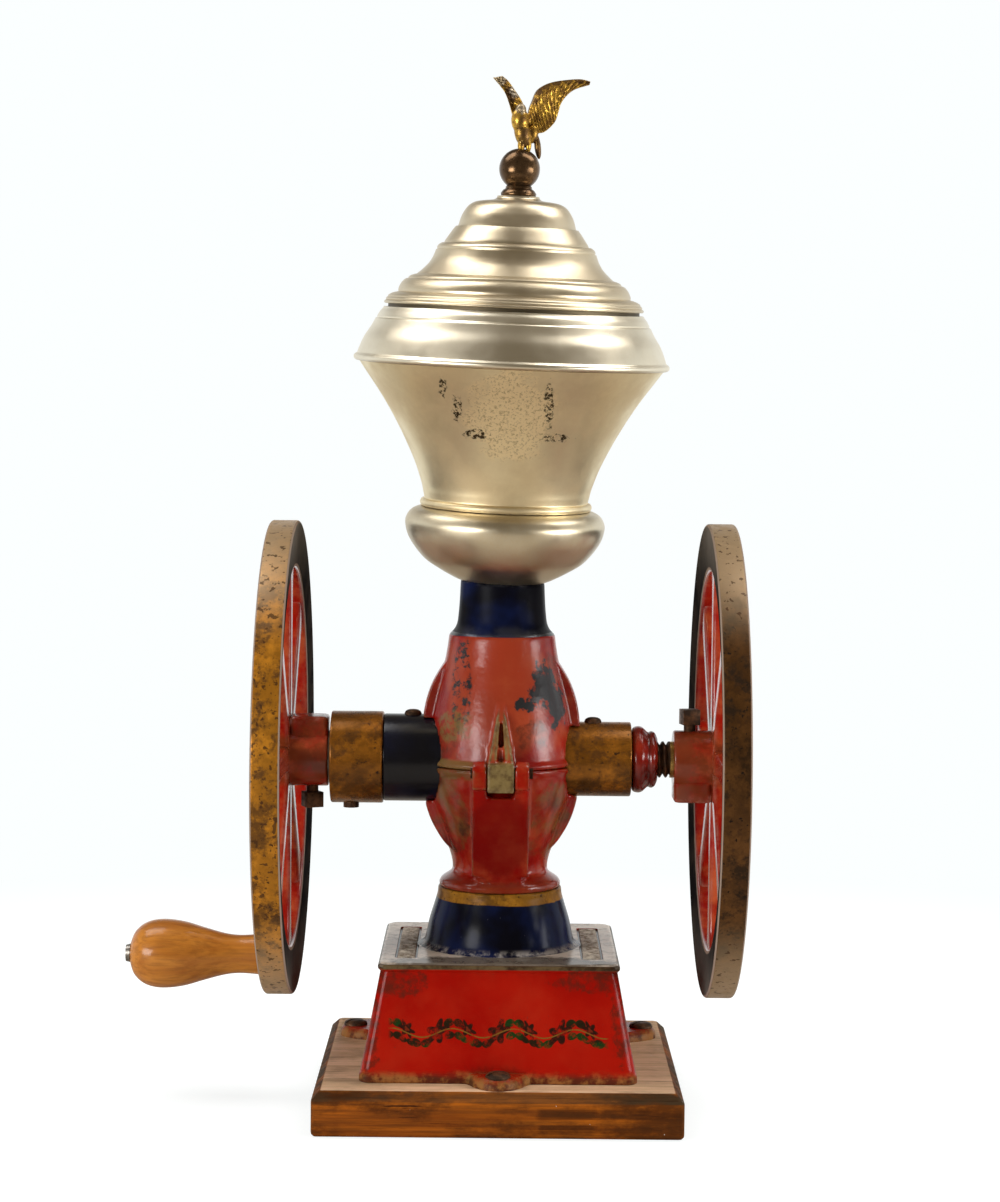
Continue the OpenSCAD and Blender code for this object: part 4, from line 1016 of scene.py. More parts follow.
# %% Casing colours
def lower_finish(name, specular):
    finish = Finish(name, specular=specular)
    paint, worn = red_layers(finish, fade=0.35, wear=0.8)
    x, z = finish.xyz[0], finish.xyz[2]
    bare = finish.most(finish.spot((-30, -25, 166), (14, 20, 26), 0.9, 14.0),
                       finish.spot((30, -25, 164), (13, 20, 27), 0.9, 14.0))
    bare = finish.times(bare, finish.patches(0.30, 0.66, 15, 8, 0.62, shift=5.0))
    brown = finish.tint(finish.patches(0.36, 0.62, 18, 8, 0.6, shift=1.0), (0.17, 0.080, 0.020),
                        (0.030, 0.017, 0.008))
    paint = finish.tint(bare, paint, brown, 0.9)
    shaded = finish.spot((0, -46, 158), (19, 22, 30), 0.25, 12.0)
    paint = finish.tint(shaded, paint, (0.15, 0.002, 0.001), 0.75)
    seam = finish.between(z, (seam_z - 6) * MM, (seam_z + 1) * MM, 1 * MM)
    seam = finish.times(seam, finish.rise(x, -8 * MM, -22 * MM))
    seam = finish.times(seam, finish.patches(0.35, 0.55, 10, 6, 0.7))
    paint = finish.tint(seam, paint, OLIVE_BRONZE, 0.8)
    foot = finish.rise(z, (pedestal_top + 9) * MM, (pedestal_top + 4) * MM)
    paint = finish.tint(foot, paint, (0.17, 0.035, 0.014), 0.45)
    cast_skin(finish, 0.30, 9.0)
    return finish.done(paint, finish.level(worn, 0.17, 0.36))


def neck_layers(finish):
    """Navy that is rubbed grey where the neck flares."""
    flare = finish.times(finish.rise(finish.xyz[2], (shaft_z + 80) * MM, (shaft_z + 74) * MM),
                         finish.patches(0.35, 0.6, 14, 5))
    return finish.tint(flare, navy_layers(finish), (0.08, 0.08, 0.085), 0.35)


def neck_finish():
    finish = Finish("neck_navy", specular=0.04)
    cast_skin(finish, 0.2, 9.0)
    return finish.done(neck_layers(finish), finish.level(finish.noise(25, 4), 0.3, 0.45))


def upper_finish():
    finish = Finish("upper_casing_red", specular=0.4)
    paint, worn = red_layers(finish, fade=0.35, wear=0.6)
    # a broad salmon-orange painted highlight on the front of the casing
    painted_sheen = finish.spot((-3, -44, 240), (34, 44, 38), 0.35, 24.0)
    paint = finish.tint(painted_sheen, paint, (0.44, 0.070, 0.022), 0.55)
    x, y, z = finish.xyz
    patch = finish.most(finish.spot((25, -30, 243), (8, 16, 13), 1.3, 5.0),
                        finish.spot((31, -22, 231), (6, 12, 12), 1.4, 5.0),
                        finish.spot((15, -36, 233), (6, 10, 5), 1.8, 4.0))
    smear = finish.most(finish.spot((20, -42, 216), (11, 14, 9), 0.8, 8.0),
                        finish.spot((-33, -30, 208), (9, 16, 10), 0.8, 8.0),
                        finish.spot((33, -26, 252), (8, 16, 16), 0.8, 8.0))
    smear = finish.times(smear, finish.patches(0.34, 0.66, 9, 8, 0.72, shift=3.0))
    paint = finish.tint(smear, paint, (0.052, 0.018, 0.008), 0.75)
    flecks = finish.times(finish.spot((-23, -30, 244), (6, 18, 32), 0.6),
                          finish.patches(0.49, 0.54, 5, 8, 0.8, shift=4.0))
    paint = finish.tint(finish.most(patch, flecks), paint, CHARCOAL)
    gold = finish.times(finish.spot((-27, -30, 220), (11, 14, 9), 0.9, 9.0),
                        finish.patches(0.38, 0.58, 5, 8, 0.75, shift=7.0))
    seam = finish.between(z, (seam_z - 1) * MM, (seam_z + 5) * MM, 1 * MM)
    seam = finish.times(seam, finish.rise(x, -8 * MM, -20 * MM))
    paint = finish.tint(finish.most(gold, seam), paint, (0.19, 0.125, 0.035), 0.8)
    # the hinge block is rubbed down to bronze
    block = finish.times(finish.rise(y, (hinge_y + 7) * MM, (hinge_y + 5.5) * MM),
                         finish.rise(z, (seam_z + 7.5) * MM, (seam_z + 5.5) * MM))
    rails = finish.rise(finish.absolute(x), 8.5 * MM, 7.5 * MM)
    rails = finish.times(rails, finish.edges(0.5, 0.53))
    rails = finish.times(rails, finish.rise(y, -40 * MM, -43 * MM))
    olive = finish.tint(finish.patches(0.4, 0.62, 8, 5, 0.65), (0.22, 0.15, 0.05), (0.10, 0.06, 0.02))
    paint = finish.tint(finish.most(block, finish.times(rails, 0.9)), paint, olive)
    navy = finish.rise(finish.plus(z, finish.times(finish.noise(14, 3), 1.2 * MM)), (shaft_z + 72.2) * MM,
                       (shaft_z + 72.8) * MM)
    paint = finish.tint(navy, paint, neck_layers(finish))
    cast_skin(finish, 0.9, 14.0)
    return finish.done(paint, finish.level(worn, 0.25, 0.42))


# %% Casing shapes
def hinge_rail(side):
    """A swelling along the inner face of one hinge rail, thick at the hinge and thin at the top."""
    sections = []
    for z, inner, outer, front, back in ((201, 2.4, 5.0, -57.2, -44.0), (228, 0.3, 1.6, -41.2, -38.0)):
        corners = ((inner, front), (outer, front), (outer, back), (inner, back))
        sections.append([(side * x, y, z) for x, y in corners])
    return loft("hinge_rail", sections)


foot_fill = ellipsoid((0, -28, pedestal_top + 9.5), (15, 6, 4.5))
lower_cast = cast_copy("lower_casing", 1.0, 12, foot_fill)
show("lower_casing_cast", lower_cast, lower_finish("lower_casing_red", 0.5), "frame", "red_paint",
     "lower_casing")
lower_cast.materials.append(lower_finish("hinge_plate_red", 0.05))
for face in lower_cast.polygons:
    if abs(face.center.x) < 16.5 * MM and face.center.y < -30 * MM and face.normal.y < -0.85:
        face.material_index = 1
upper_cast = cast_copy("upper_casing", 0.9, 4, hinge_rail(-1), hinge_rail(1))
show("upper_casing_cast", upper_cast, upper_finish(), "upper", "red_paint", "upper_casing")
upper_cast.materials.append(neck_finish())
for face in upper_cast.polygons:
    face.material_index = int(face.center.z > (shaft_z + 73.5) * MM)
print("casing faces:", len(lower_cast.polygons), len(upper_cast.polygons))

# %% [markdown]
# ## Collars on the shaft
# Left of the casing come a navy sleeve and a bronze cap, right of it a bronze sleeve, the red regulator nut
# with its open thread, and a washer. They are short turned pieces whose edges are eased, and a few tenths of
# a millimetre of unevenness keeps their highlights from looking machined.


# %% Collars
def collar(name, x0, x1, radius, bore, ease=1.2):
    outline = eased([(bore, 0), (radius, 0), (radius, x1 - x0), (bore, x1 - x0)], ease)
    return lathe(name, outline, along_shaft(x0), 96)


left_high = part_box("left_bearing")[1] / MM
cap_low, cap_high = (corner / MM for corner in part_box("spring_cap"))
right_low, right_high = (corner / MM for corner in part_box("right_bearing"))
SLEEVE_LEFT, CAP, SLEEVE_RIGHT = 25.2, 26.5, 21.5
show("left_sleeve", collar("left_sleeve", cap_high.x, left_high.x, SLEEVE_LEFT, 10.0), sleeve_black, "frame",
     "navy_paint", "left_bearing")
show("spring_cap_turned", collar("spring_cap", cap_low.x, cap_high.x - 0.1, CAP, 15.8), collar_bronze,
     "frame", "bronze_paint", "spring_cap")
show("right_sleeve", collar("right_sleeve", right_low.x, right_high.x, SLEEVE_RIGHT, 10.0), collar_bronze,
     "frame", "bronze_paint", "right_bearing")


# %% Regulator
def nut_finish():
    finish = Finish("nut_red", specular=0.45)
    paint, worn = red_layers(finish, fade=0.15, wear=0.4, deep=(0.09, 0.004, 0.002))
    shade = finish.rise(finish.xyz[2], (shaft_z + 4) * MM, (shaft_z - 9) * MM)
    paint = finish.tint(shade, paint, (0.050, 0.004, 0.003), 0.7)
    cast_skin(finish)
    return finish.done(paint, finish.level(worn, 0.2, 0.4))


nut_low, nut_high = (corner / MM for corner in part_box("regulator_nut"))
NUT_R, SCREW_BORE, SCREW_CORE, SCREW_CREST, PITCH = 19.2, 6.3, 8.5, 10.8, 3.6
nut_long = nut_high.x - nut_low.x
nut_outline = np.vstack([[(SCREW_CORE, 0)],
                         flow([(NUT_R - 4, 0), (NUT_R - 1, 1.0), (NUT_R, nut_long * 0.24),
                               (NUT_R - 0.5, nut_long * 0.42), (NUT_R - 3.2, nut_long * 0.62)], 6),
                         flow([(NUT_R - 3.4, nut_long * 0.68), (NUT_R - 2.8, nut_long * 0.78),
                               (NUT_R - 3.8, nut_long * 0.91), (NUT_R - 6.6, nut_long)], 5),
                         [(SCREW_CORE, nut_long)]])
show("regulator_nut_turned", lathe("regulator_nut", nut_outline, along_shaft(nut_low.x), 96), nut_finish(),
     "regulator", "red_paint", "regulator_nut")


def thread_mesh(x0, x1):
    """A tube whose outside rises and falls along a helix."""
    rows, turns = 90, 48

    def on_screw(x, r, a):
        return along_shaft(x) @ (Vector((r * math.cos(a), r * math.sin(a), 0)) * MM)

    points = []
    for i in range(rows + 1):
        x = x0 + (x1 - x0) * i / rows
        for k in range(turns):
            a = 2 * math.pi * k / turns
            phase = (x / PITCH - a / (2 * math.pi)) % 1.0
            crest = 1 - abs(2 * phase - 1)
            r = SCREW_CORE - 0.3 + (SCREW_CREST - SCREW_CORE) * min(1.0, 1.35 * crest)
            points.append(on_screw(x, r, a))
    for x in (x1, x0):
        points += [on_screw(x, SCREW_BORE, 2 * math.pi * k / turns) for k in range(turns)]
    faces = []
    for i in range(rows + 3):
        for k in range(turns):
            n, m = (k + 1) % turns, (i + 1) % (rows + 3)
            faces.append((i * turns + k, i * turns + n, m * turns + n, m * turns + k))
    return clean_mesh("regulator_thread", points, faces, 60)


screw_low, screw_high = (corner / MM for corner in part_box("regulator_screw"))
show("regulator_thread", thread_mesh(screw_low.x, screw_high.x), rusty_steel, "regulator", "bright_steel",
     "regulator_screw")

# %% [markdown]
# ## Flywheels
# Each wheel is a heavy flat rim, eight spokes and a hub with a boss for its set screw. The tread is bronze,
# the flat sides are a matt black and the inside is red. The rim and hub are turned, and the spokes come
# from the node tree that repeats a part round the axis.

# %% Wheel colours
WHEEL_R, RIM_IN, RIM_W, HUB_R = 136.5, 109.0, 16.0, 17.0
wheel_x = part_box("right_wheel")[1].x / MM - RIM_W
hub_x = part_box("right_wheel")[0].x / MM


def wheel_red_finish():
    finish = Finish("wheel_red", specular=0.42)
    # the edges are painted pale pink: a painted highlight in place of rubbed primer
    paint, worn = red_layers(finish, fade=0.6, wear=0.8, rubbed=PAINTED_PINK_SHEEN)
    rise = finish.less(finish.xyz[2], shaft_z * MM)
    out = finish.length(rise, finish.xyz[1])
    hub = finish.times(finish.rise(out, 30 * MM, 24 * MM),
                       finish.patches(0.32, 0.58, 10, 6, 0.65, shift=3.0))
    paint = finish.tint(hub, paint, (0.150, 0.030, 0.007), 0.8)
    cast_skin(finish)
    return finish.done(paint, finish.level(worn, 0.16, 0.42))


wheel_red = wheel_red_finish()


def tread_finish(name, bright, dark):
    finish = Finish(name, metallic=0.35)
    paint, worn = bronze_layers(finish, bright, dark, 0.85)
    stains = finish.patches(0.50, 0.62, 26, 8, 0.7, shift=3.5)
    paint = finish.tint(stains, paint, dark, 0.8)
    # beige-grey towards the tread's top and bottom: painted sheen from lamps and floor, with some dust
    rise = finish.absolute(finish.less(finish.xyz[2], shaft_z * MM))
    ends = finish.times(finish.rise(rise, 70 * MM, 132 * MM), 0.85)
    paint = finish.tint(ends, paint, BEIGE_GREY)
    spots = finish.patches(0.62, 0.66, 3.4, 2, 0.5, shift=6.0)
    paint = finish.tint(spots, paint, BRONZE_BROWN, 0.8)
    edge = finish.rise(finish.absolute(finish.less(finish.absolute(finish.xyz[0]),
                                                   (wheel_x + RIM_W / 2) * MM)), 6.6 * MM, 7.8 * MM)
    paint = finish.tint(edge, paint, (0.05, 0.032, 0.018), 0.7)
    finish.relief(finish.noise(4, 6, 0.7), 0.15, 0.6)
    return finish.done(paint, finish.level(worn, 0.38, 0.58))


tread_left = tread_finish("tread_left", OCHRE, (0.065, 0.027, 0.007))
tread_right = tread_finish("tread_right", (0.100, 0.040, 0.009), (0.016, 0.008, 0.003))


def side_finish():
    finish = Finish("rim_side", specular=0.0)
    tone = finish.patches(0.4, 0.65, 30, 5, 0.6)
    paint = finish.tint(tone, (0.014, 0.013, 0.013), (0.035, 0.028, 0.023))
    # lighter grey towards the top and bottom of the flat side: painted reflection
    rise = finish.absolute(finish.less(finish.xyz[2], shaft_z * MM))
    pale = finish.times(finish.rise(rise, 92 * MM, 136 * MM), 0.45)
    paint = finish.tint(pale, paint, (0.26, 0.235, 0.20))
    out = finish.length(rise, finish.xyz[1])
    # pale lines along the outer and inner edge: rubbed paint, and painted edge highlights
    edge_marks = finish.most(finish.rise(out, (WHEEL_R - 2.0) * MM, (WHEEL_R - 0.8) * MM),
                      finish.rise(out, (RIM_IN + 3.0) * MM, (RIM_IN + 2.0) * MM))
    paint = finish.tint(edge_marks, paint, (0.35, 0.26, 0.20), 0.8)
    cast_skin(finish)
    return finish.done(paint, finish.level(tone, 0.34, 0.46))


rim_side = side_finish()


# %% Wheel shapes
def spoke_mesh():
    """One spoke along +Z: a flat bar with rounded edges that widens into the rim."""
    middle = wheel_x + RIM_W / 2
    sections = []
    for z, half in ((11, 9.0), (20, 7.6), (27, 6.6), (45, 5.8), (62, 5.6), (82, 5.9), (95, 6.8), (102, 8.4),
                    (107, 11), (RIM_IN + 2, 14.5)):
        outline = eased([(-4.2, -half), (4.2, -half), (4.2, half), (-4.2, half)], 2.6, 4)
        sections.append([(middle + x, y, z) for x, y in outline])
    return loft("spoke", sections, 50)


def rim_mesh():
    """The rim, thinner towards its inside. Its axis is X through the origin."""
    slim = 1.9
    half = [(RIM_IN, slim + 0.8), (RIM_IN + 2.2, slim), (WHEEL_R - 5, 0.2), (WHEEL_R - 1, 0), (WHEEL_R, 1)]
    outline = eased(half + [(r, RIM_W - x) for r, x in half[::-1]], 1.6, 3)
    return lathe("rim", outline, along_shaft(wheel_x, 0), 192)


def hub_mesh():
    long = wheel_x + RIM_W - 2 - hub_x
    outline = eased([(6.0, 0), (HUB_R, 0), (HUB_R, long - 7), (HUB_R - 3, long), (6.0, long)], 1.4)
    turned = lathe("hub", outline, along_shaft(hub_x, 0), 64)
    boss = [rounded_rectangle(11.0, 11.4, 3.0, z) for z in (4.0, 22.4)]
    boss.append(rounded_rectangle(10.2, 10.6, 2.6, 23.6))
    boss.append(rounded_rectangle(9.0, 9.4, 2.2, 24.0))
    boss = loft("boss", [[(x + hub_x + 11.2, y, -z) for x, y, z in section] for section in boss])
    return combine(turned, boss, "UNION")


def wheel_mesh(tread):
    spokes = grow(round_axis, spoke_mesh(), {"Count": 8, "Material": wheel_red})
    mesh = joined([rim_mesh(), hub_mesh(), spokes], "wheel")
    for finish in (wheel_red, rim_side, tread):
        mesh.materials.append(finish)
    for face in mesh.polygons:
        out = math.hypot(face.center.y, face.center.z) / MM
        face.material_index = 0
        if out > RIM_IN + 1.0 and abs(face.normal.x) > 0.6:
            face.material_index = 1
        if out > WHEEL_R - 1.5 and abs(face.normal.x) <= 0.6:
            face.material_index = 2
    return shaded(mesh, 40)


right_mesh = wheel_mesh(tread_right)
right_mesh.transform(Matrix.Translation((0, 0, shaft_z * MM)))
show("right_flywheel", right_mesh, None, "rotor", "red_paint", "right_wheel")
left_mesh = wheel_mesh(tread_left)
left_mesh.transform(Matrix.Translation((0, 0, shaft_z * MM)) @ Matrix.Diagonal((-1, 1, -1, 1)))
show("left_flywheel", left_mesh, None, "rotor", "red_paint", "left_wheel")
print("wheel faces:", len(right_mesh.polygons))


# %% [markdown]
# ## Crank grip
# The grip is turned maple under varnish: slim at the wheel and swelling to a pear at its end. Grain runs
# along it.

# %% Crank grip
grip_low, grip_high = (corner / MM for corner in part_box("handle_grip"))
GRIP_BORE = 4.05
grip_long = grip_high.x - grip_low.x
grip_side = flow([(12.2, 1.0), (11.3, 10), (11.1, 18), (12.2, 26), (15.2, 37), (18.4, 48), (19.8, 58),
                  (19.4, 66), (17, 72.5), (12.5, 77.3), (7, grip_long - 0.4),
                  (GRIP_BORE + 0.4, grip_long)], 8)
grip_outline = np.vstack([[(GRIP_BORE, 0), (11.4, 0)], grip_side, [(GRIP_BORE, grip_long)]])
grip_place = (Matrix.Translation((grip_high.x * MM, 0, handle_z * MM))
              @ Matrix.Rotation(-math.pi / 2, 4, "Y"))
show("crank_grip", lathe("crank_grip", grip_outline, grip_place, 96), grip_maple, "grip", "grip_wood",
     "handle_grip")

# %% [markdown]
# ## Hopper
# Bulb, cone, shoulder and lid were spun from sheet. Each is a profile and its inside, turned on the leaning
# axis. A tenth of a millimetre of denting breaks the reflections as hand-spun metal does.

# %% Hopper profiles
SHEET = 1.5
RING_R, RING_H, BULB_R = 49.4, 43.8, 57.4
RIM_R, RIM_H, MOUTH_R = 90.3, 126.0, 74.0
LID_Z = 155.0


def cone_finish():
    finish = Finish("nickel_cone", metallic=1.0)
    patch = finish.patches(0.36, 0.66, 35, 5, 0.6)
    colour = finish.tint(patch, (0.84, 0.72, 0.47), (0.70, 0.57, 0.35))
    middle = finish.spot((4, -58, 400), (26, 40, 30), 0.6, 12.0)
    colour = finish.tint(middle, colour, (0.92, 0.75, 0.46), 0.7)
    speckle = finish.patches(0.50, 0.62, 1.5, 5, 0.7, shift=4.0)
    colour = finish.tint(finish.times(middle, finish.times(speckle, 0.6)), colour, (0.30, 0.21, 0.09))
    pits = finish.patches(0.705, 0.74, 2.8, 6, 0.75, shift=9.0)
    scars = [((24.5, -70, 403), (2.6, 22, 13)), ((29, -66, 383), (8, 22, 2.2)),
             ((-34, -66, 411), (2.4, 22, 6)), ((-26, -70, 399), (3.0, 22, 7)),
             ((-15, -68, 385), (7, 22, 2.6))]
    scar = finish.most(*[finish.spot(place, reach, 1.0, 4.0) for place, reach in scars])
    scar = finish.times(scar, finish.patches(0.48, 0.54, 2.6, 5, 0.7, shift=2.0))
    colour = finish.tint(finish.most(pits, scar), colour, PIT)
    finish.relief(finish.noise(1.8, 5, 0.65), 0.05, 0.5)
    return finish.done(colour, finish.level(patch, 0.36, 0.5))


bulb_side = np.vstack([[(16.0, 0), (25, 0)],
                       flow([(28, 1.2), (37, 6), (46.6, 12.5), (BULB_R - 2.7, 23), (BULB_R, 31.5),
                             (BULB_R - 1, 36.5), (BULB_R - 4.2, 40), (RING_R - 2.2, RING_H - 1.6)]),
                       [(RING_R - 4.2, RING_H - 1.4)]])
cone_side = np.vstack([[(RING_R - 2.6, RING_H - 1.4)],
                       flow([(RING_R - 0.6, RING_H - 1.6), (RING_R, RING_H + 0.2),
                             (RING_R - 0.7, RING_H + 1.9), (RING_R - 2.3, RING_H + 2.6)], 5),
                       flow([(RING_R - 2.3, RING_H + 3.2), (RING_R - 1.7, RING_H + 6),
                             (RING_R - 0.2, RING_H + 12), (54, RIM_H - 57.3), (62.5, RIM_H - 40),
                             (72.6, RIM_H - 23), (RIM_R - 6.5, RIM_H - 7), (RIM_R - 3.4, RIM_H - 2.6)])])
rim_roll = [(RIM_R - 2.2 + 2.2 * math.cos(a), RIM_H - 0.4 + 2.0 * math.sin(a))
            for a in np.linspace(-2.2, 1.0, 9)]
shoulder_side = np.vstack([rim_roll,
                           flow([(RIM_R - 2.0, RIM_H + 2.0), (RIM_R - 3.4, RIM_H + 6),
                                 (RIM_R - 5.8, RIM_H + 11.5), (RIM_R - 9.3, RIM_H + 17),
                                 (MOUTH_R + 4.6, RIM_H + 21.6)]),
                           [(MOUTH_R + 3.6, RIM_H + 22.2)],
                           flow([(MOUTH_R + 3.7, RIM_H + 22.9), (MOUTH_R + 2.2, RIM_H + 25.6),
                                 (MOUTH_R + 0.8, LID_Z - 1.7), (MOUTH_R + 0.1, LID_Z - 0.6)], 6)])
# rolled edge, two fine beads, a shelf, a hollow ring, the wide band with its bead, a plain band, the dome
# and a disc
lid_side = np.vstack([flow([(MOUTH_R - 0.5, 1.0), (MOUTH_R + 0.1, 1.8), (MOUTH_R - 0.5, 2.8)], 5),
                      flow([(72.9, 3.0), (73.1, 3.8), (72.4, 4.7)], 4),
                      flow([(72.0, 4.8), (71.8, 5.6), (70.4, 6.6), (68.4, 7.4), (66.8, 7.8)], 5),
                      flow([(66.2, 8.0), (66.2, 9.6), (65.0, 12.4), (63.2, 14.6), (61.6, 15.6)], 6),
                      flow([(60.9, 15.6), (60.2, 16.8), (58.4, 17.7), (56.8, 18.2)], 4),
                      flow([(56.1, 18.3), (52.6, 21.4), (49.6, 24.6), (47.6, 27.8), (46.4, 30.6),
                            (45.7, 32.6)], 6),
                      flow([(45.0, 32.7), (45.1, 34.0), (44.2, 35.4), (42.5, 36.5)], 5),
                      flow([(41.3, 36.4), (40.6, 38.0), (38.6, 41.0), (36.4, 44.2), (34.9, 46.1)], 6),
                      flow([(33.8, 46.0), (33.3, 47.4), (32.4, 50.6), (30.9, 54), (28, 58), (24, 60.3),
                            (19, 61.2)], 6),
                      flow([(16.8, 61.4), (14.0, 61.8), (12.4, 62.7), (11.9, 64)], 5),
                      [(3.2, 64)]])
lid_place = HOPPER @ Matrix.Translation((0, 0, (LID_Z + 0.3) * MM))


def spun(name, side, place, finish, body, node, depth_mm=0.12, seed=0.0):
    mesh = lathe(name, sheet(side, SHEET), place, 192, 38)
    dent(mesh, 28, depth_mm, seed)
    return show(name, mesh, finish, body, "nickel_plate", node)


spun("bulb_spun", bulb_side, HOPPER, nickel_soft, "upper", "hopper_bulb", 0.15, 1.0)
spun("cone_spun", cone_side, HOPPER, cone_finish(), "upper", "hopper_cone", 0.12, 5.0)
spun("shoulder_spun", shoulder_side, HOPPER, nickel_bright, "upper", "hopper_shoulder", 0.12, 9.0)
spun("lid_spun", lid_side, lid_place, nickel_lid, "lid", "lid", 0.12, 3.0)

# %% [markdown]
# ## Finial
# A bronze ball on a turned collar carries a gilt eagle with raised wings. Feathers are modelled, not
# painted: each wing is a grid whose thickness rises and falls in rows. Voxels then melt body and wings into
# one casting.

# %% Finial ball
BALL_R, BALL_Z, EAGLE_Z = 11.6, 15.4, 27.0
FINIAL_Z = LID_Z + 64.3
ball_place = HOPPER @ Matrix.Translation((0, 0, FINIAL_Z * MM))
ball_angles = np.linspace(math.radians(-56), math.radians(89.9), 22)
ball_collar = eased([(9.8, 0), (10.2, 1.6), (8.8, 3.6), (7.6, 4.2), (7.4, 5.6), (6.9, 6.0)], 0.5, 3)
ball_outline = np.vstack([[(0.0, 0.0)], ball_collar,
                          [(BALL_R * math.cos(a), BALL_Z + BALL_R * math.sin(a)) for a in ball_angles],
                          [(0.0, BALL_Z + BALL_R)]])
show("finial_ball_turned", lathe("finial_ball", ball_outline, ball_place, 96), ball_bronze, "lid",
     "old_bronze", "finial_ball")


# %% Eagle
EAGLE = HOPPER @ Matrix.Translation((0, 0, (FINIAL_Z + EAGLE_Z) * MM))


def eagle_finish():
    """Gilt with brown in the hollows, a dark front edge and tail, grey where the gilt is rubbed off, and a
    grey painted highlight on the head.
    """
    finish = Finish("eagle_gilt", metallic=0.7)

    def near(places, reach):
        spots = [finish.spot(EAGLE @ (Vector((x, 0, z)) * MM) / MM, reach, 0.5, 3.0) for x, z in places]
        return finish.most(*spots)

    tone = finish.patches(0.40, 0.60, 5, 7, 0.7)
    gold = finish.tint(tone, (0.58, 0.34, 0.050), (0.20, 0.100, 0.020))
    edge = near([(5.5, 27), (8.4, 32.6), (12.6, 36.2), (18.4, 38.6), (25, 39.8), (32, 40.2), (38, 39.2)],
                (3.2, 9, 2.6))
    dark = finish.most(edge, near([(10, 2)], (2.8, 9, 7)),
                       near([(-7.4, 28), (-0.5, 13), (1.5, 6)], (3.2, 7, 7)))
    gold = finish.tint(dark, gold, (0.085, 0.045, 0.022), 0.8)
    # pale grey on the left wing, where the gilt is rubbed off, and on the head as a painted highlight
    pale = near([(-13, 38), (-4, 32), (-0.4, 21.5)], (3.6, 8, 3.6))
    gold = finish.tint(pale, gold, (0.33, 0.29, 0.22), 0.7)
    hollow = finish.rise(finish.geometry["Pointiness"], 0.505, 0.455)
    gold = finish.tint(hollow, gold, (0.035, 0.015, 0.006), 0.9)
    high = finish.times(finish.edges(0.53, 0.60), 0.5)
    gold = finish.tint(high, gold, (0.74, 0.52, 0.18))
    return finish.done(gold, finish.level(tone, 0.28, 0.46))


def wing_mesh(lead, trail, cup_mm, feathers, turn_deg):
    """A wing between its leading and trailing edge, cupped, with rows of feathers in relief."""
    rows, cols = 150, 80
    front, back = flow(lead, 40), flow(trail, 40)
    pick = np.linspace(0, 1, rows)
    front = np.stack([np.interp(pick, np.linspace(0, 1, len(front)), front[:, i]) for i in (0, 1)], 1)
    back = np.stack([np.interp(pick, np.linspace(0, 1, len(back)), back[:, i]) for i in (0, 1)], 1)
    turn = Matrix.Rotation(math.radians(turn_deg), 3, "Z")
    faces_points = [[], []]
    for i, s in enumerate(pick):
        for t in np.linspace(0, 1, cols):
            x, z = front[i] * (1 - t) + back[i] * t
            roll = max(0.0, 1 - (t / 0.22) ** 2)
            vane = abs(math.sin(math.pi * feathers * (s + 0.10 * t)))
            row = (3.4 * t + 0.25 * math.sin(2 * math.pi * feathers * s)) % 1.0
            scale = (0.30 + 0.70 * row) * vane if t > 0.16 else 0.0
            half = 0.65 + 1.5 * roll + 0.75 * scale * math.sin(math.pi * min(0.5, s * 4))
            cup = (cup_mm * math.sin(math.pi * min(1.0, 0.15 + 0.85 * t))
                   * math.sin(math.pi * min(1, s + 0.25)))
            for side, points in zip((-1, 1), faces_points):
                points.append(turn @ Vector((x, cup + side * half, z)) * MM)
    count = rows * cols
    faces = []
    for i in range(rows - 1):
        for j in range(cols - 1):
            a = i * cols + j
            faces.append((a, a + 1, a + cols + 1, a + cols))
            faces.append((count + a, count + a + cols, count + a + cols + 1, count + a + 1))
    ring = ([i * cols for i in range(rows)] + [(rows - 1) * cols + j for j in range(1, cols)]
            + [i * cols + cols - 1 for i in range(rows - 2, -1, -1)] + [j for j in range(cols - 2, 0, -1)])
    for a, b in zip(ring, ring[1:] + ring[:1]):
        faces.append((a, b, count + b, count + a))
    return clean_mesh("wing", faces_points[0] + faces_points[1], faces)


def eagle_mesh():
    body = [ellipsoid((-0.9, -1.0, 15.6), (5.0, 5.2, 7.4), -4),
            ellipsoid((0.8, -0.6, 8.6), (4.6, 4.8, 8.0), -14),
            ellipsoid((-0.6, -1.6, 21.4), (3.0, 3.3, 3.6)), ellipsoid((-1.6, -4.6, 20.9), (1.0, 1.9, 0.9)),
            ellipsoid((0.4, -1.8, 1.8), (2.1, 2.2, 4.4)), ellipsoid((4.5, -0.8, 2.2), (1.7, 2.0, 4.6)),
            ellipsoid((9.7, 3.4, 1.6), (1.9, 2.8, 7.2), -9), ellipsoid((6.4, 2.4, 8.4), (3.4, 3.4, 5.4), 8)]
    right = wing_mesh([(3.2, 16), (4.2, 22.3), (5.6, 26.3), (7.9, 32.3), (11.9, 35.8), (17.1, 38),
                       (24.8, 39.5), (32.7, 40.3), (38.6, 39.3)],
                      [(4.5, 8.6), (10.1, 9.0), (13.1, 9.7), (16.2, 12.2), (19.2, 15.8), (20.6, 19.8),
                       (22.8, 27.3), (28.8, 33.8), (38.2, 37.4)], 3.2, 15, 10)
    left = wing_mesh([(-5.4, 18.5), (-7.2, 24), (-9.8, 30.3), (-13.0, 34.5), (-15.6, 37.3), (-17.2, 39)],
                     [(2.6, 19.5), (0.8, 24.3), (-1.7, 28.7), (-5.1, 33.2), (-8.7, 37.6), (-12.0, 40.2)],
                     1.6, 9, -10)
    mesh = melted(joined(body + [right, left], "eagle"), 0.32, 1)
    mesh.transform(EAGLE)
    return mesh


eagle_cast = eagle_mesh()
show("eagle_cast", eagle_cast, eagle_finish(), "lid", "gilt_bronze", "eagle")
print("eagle faces:", len(eagle_cast.polygons))


# %% [markdown]
# ## Screws
# The foot screws and the oil screws have domed heads with a slot. One head is made and the node tree sets it
# on its places. The wheels are held by square-headed set screws.

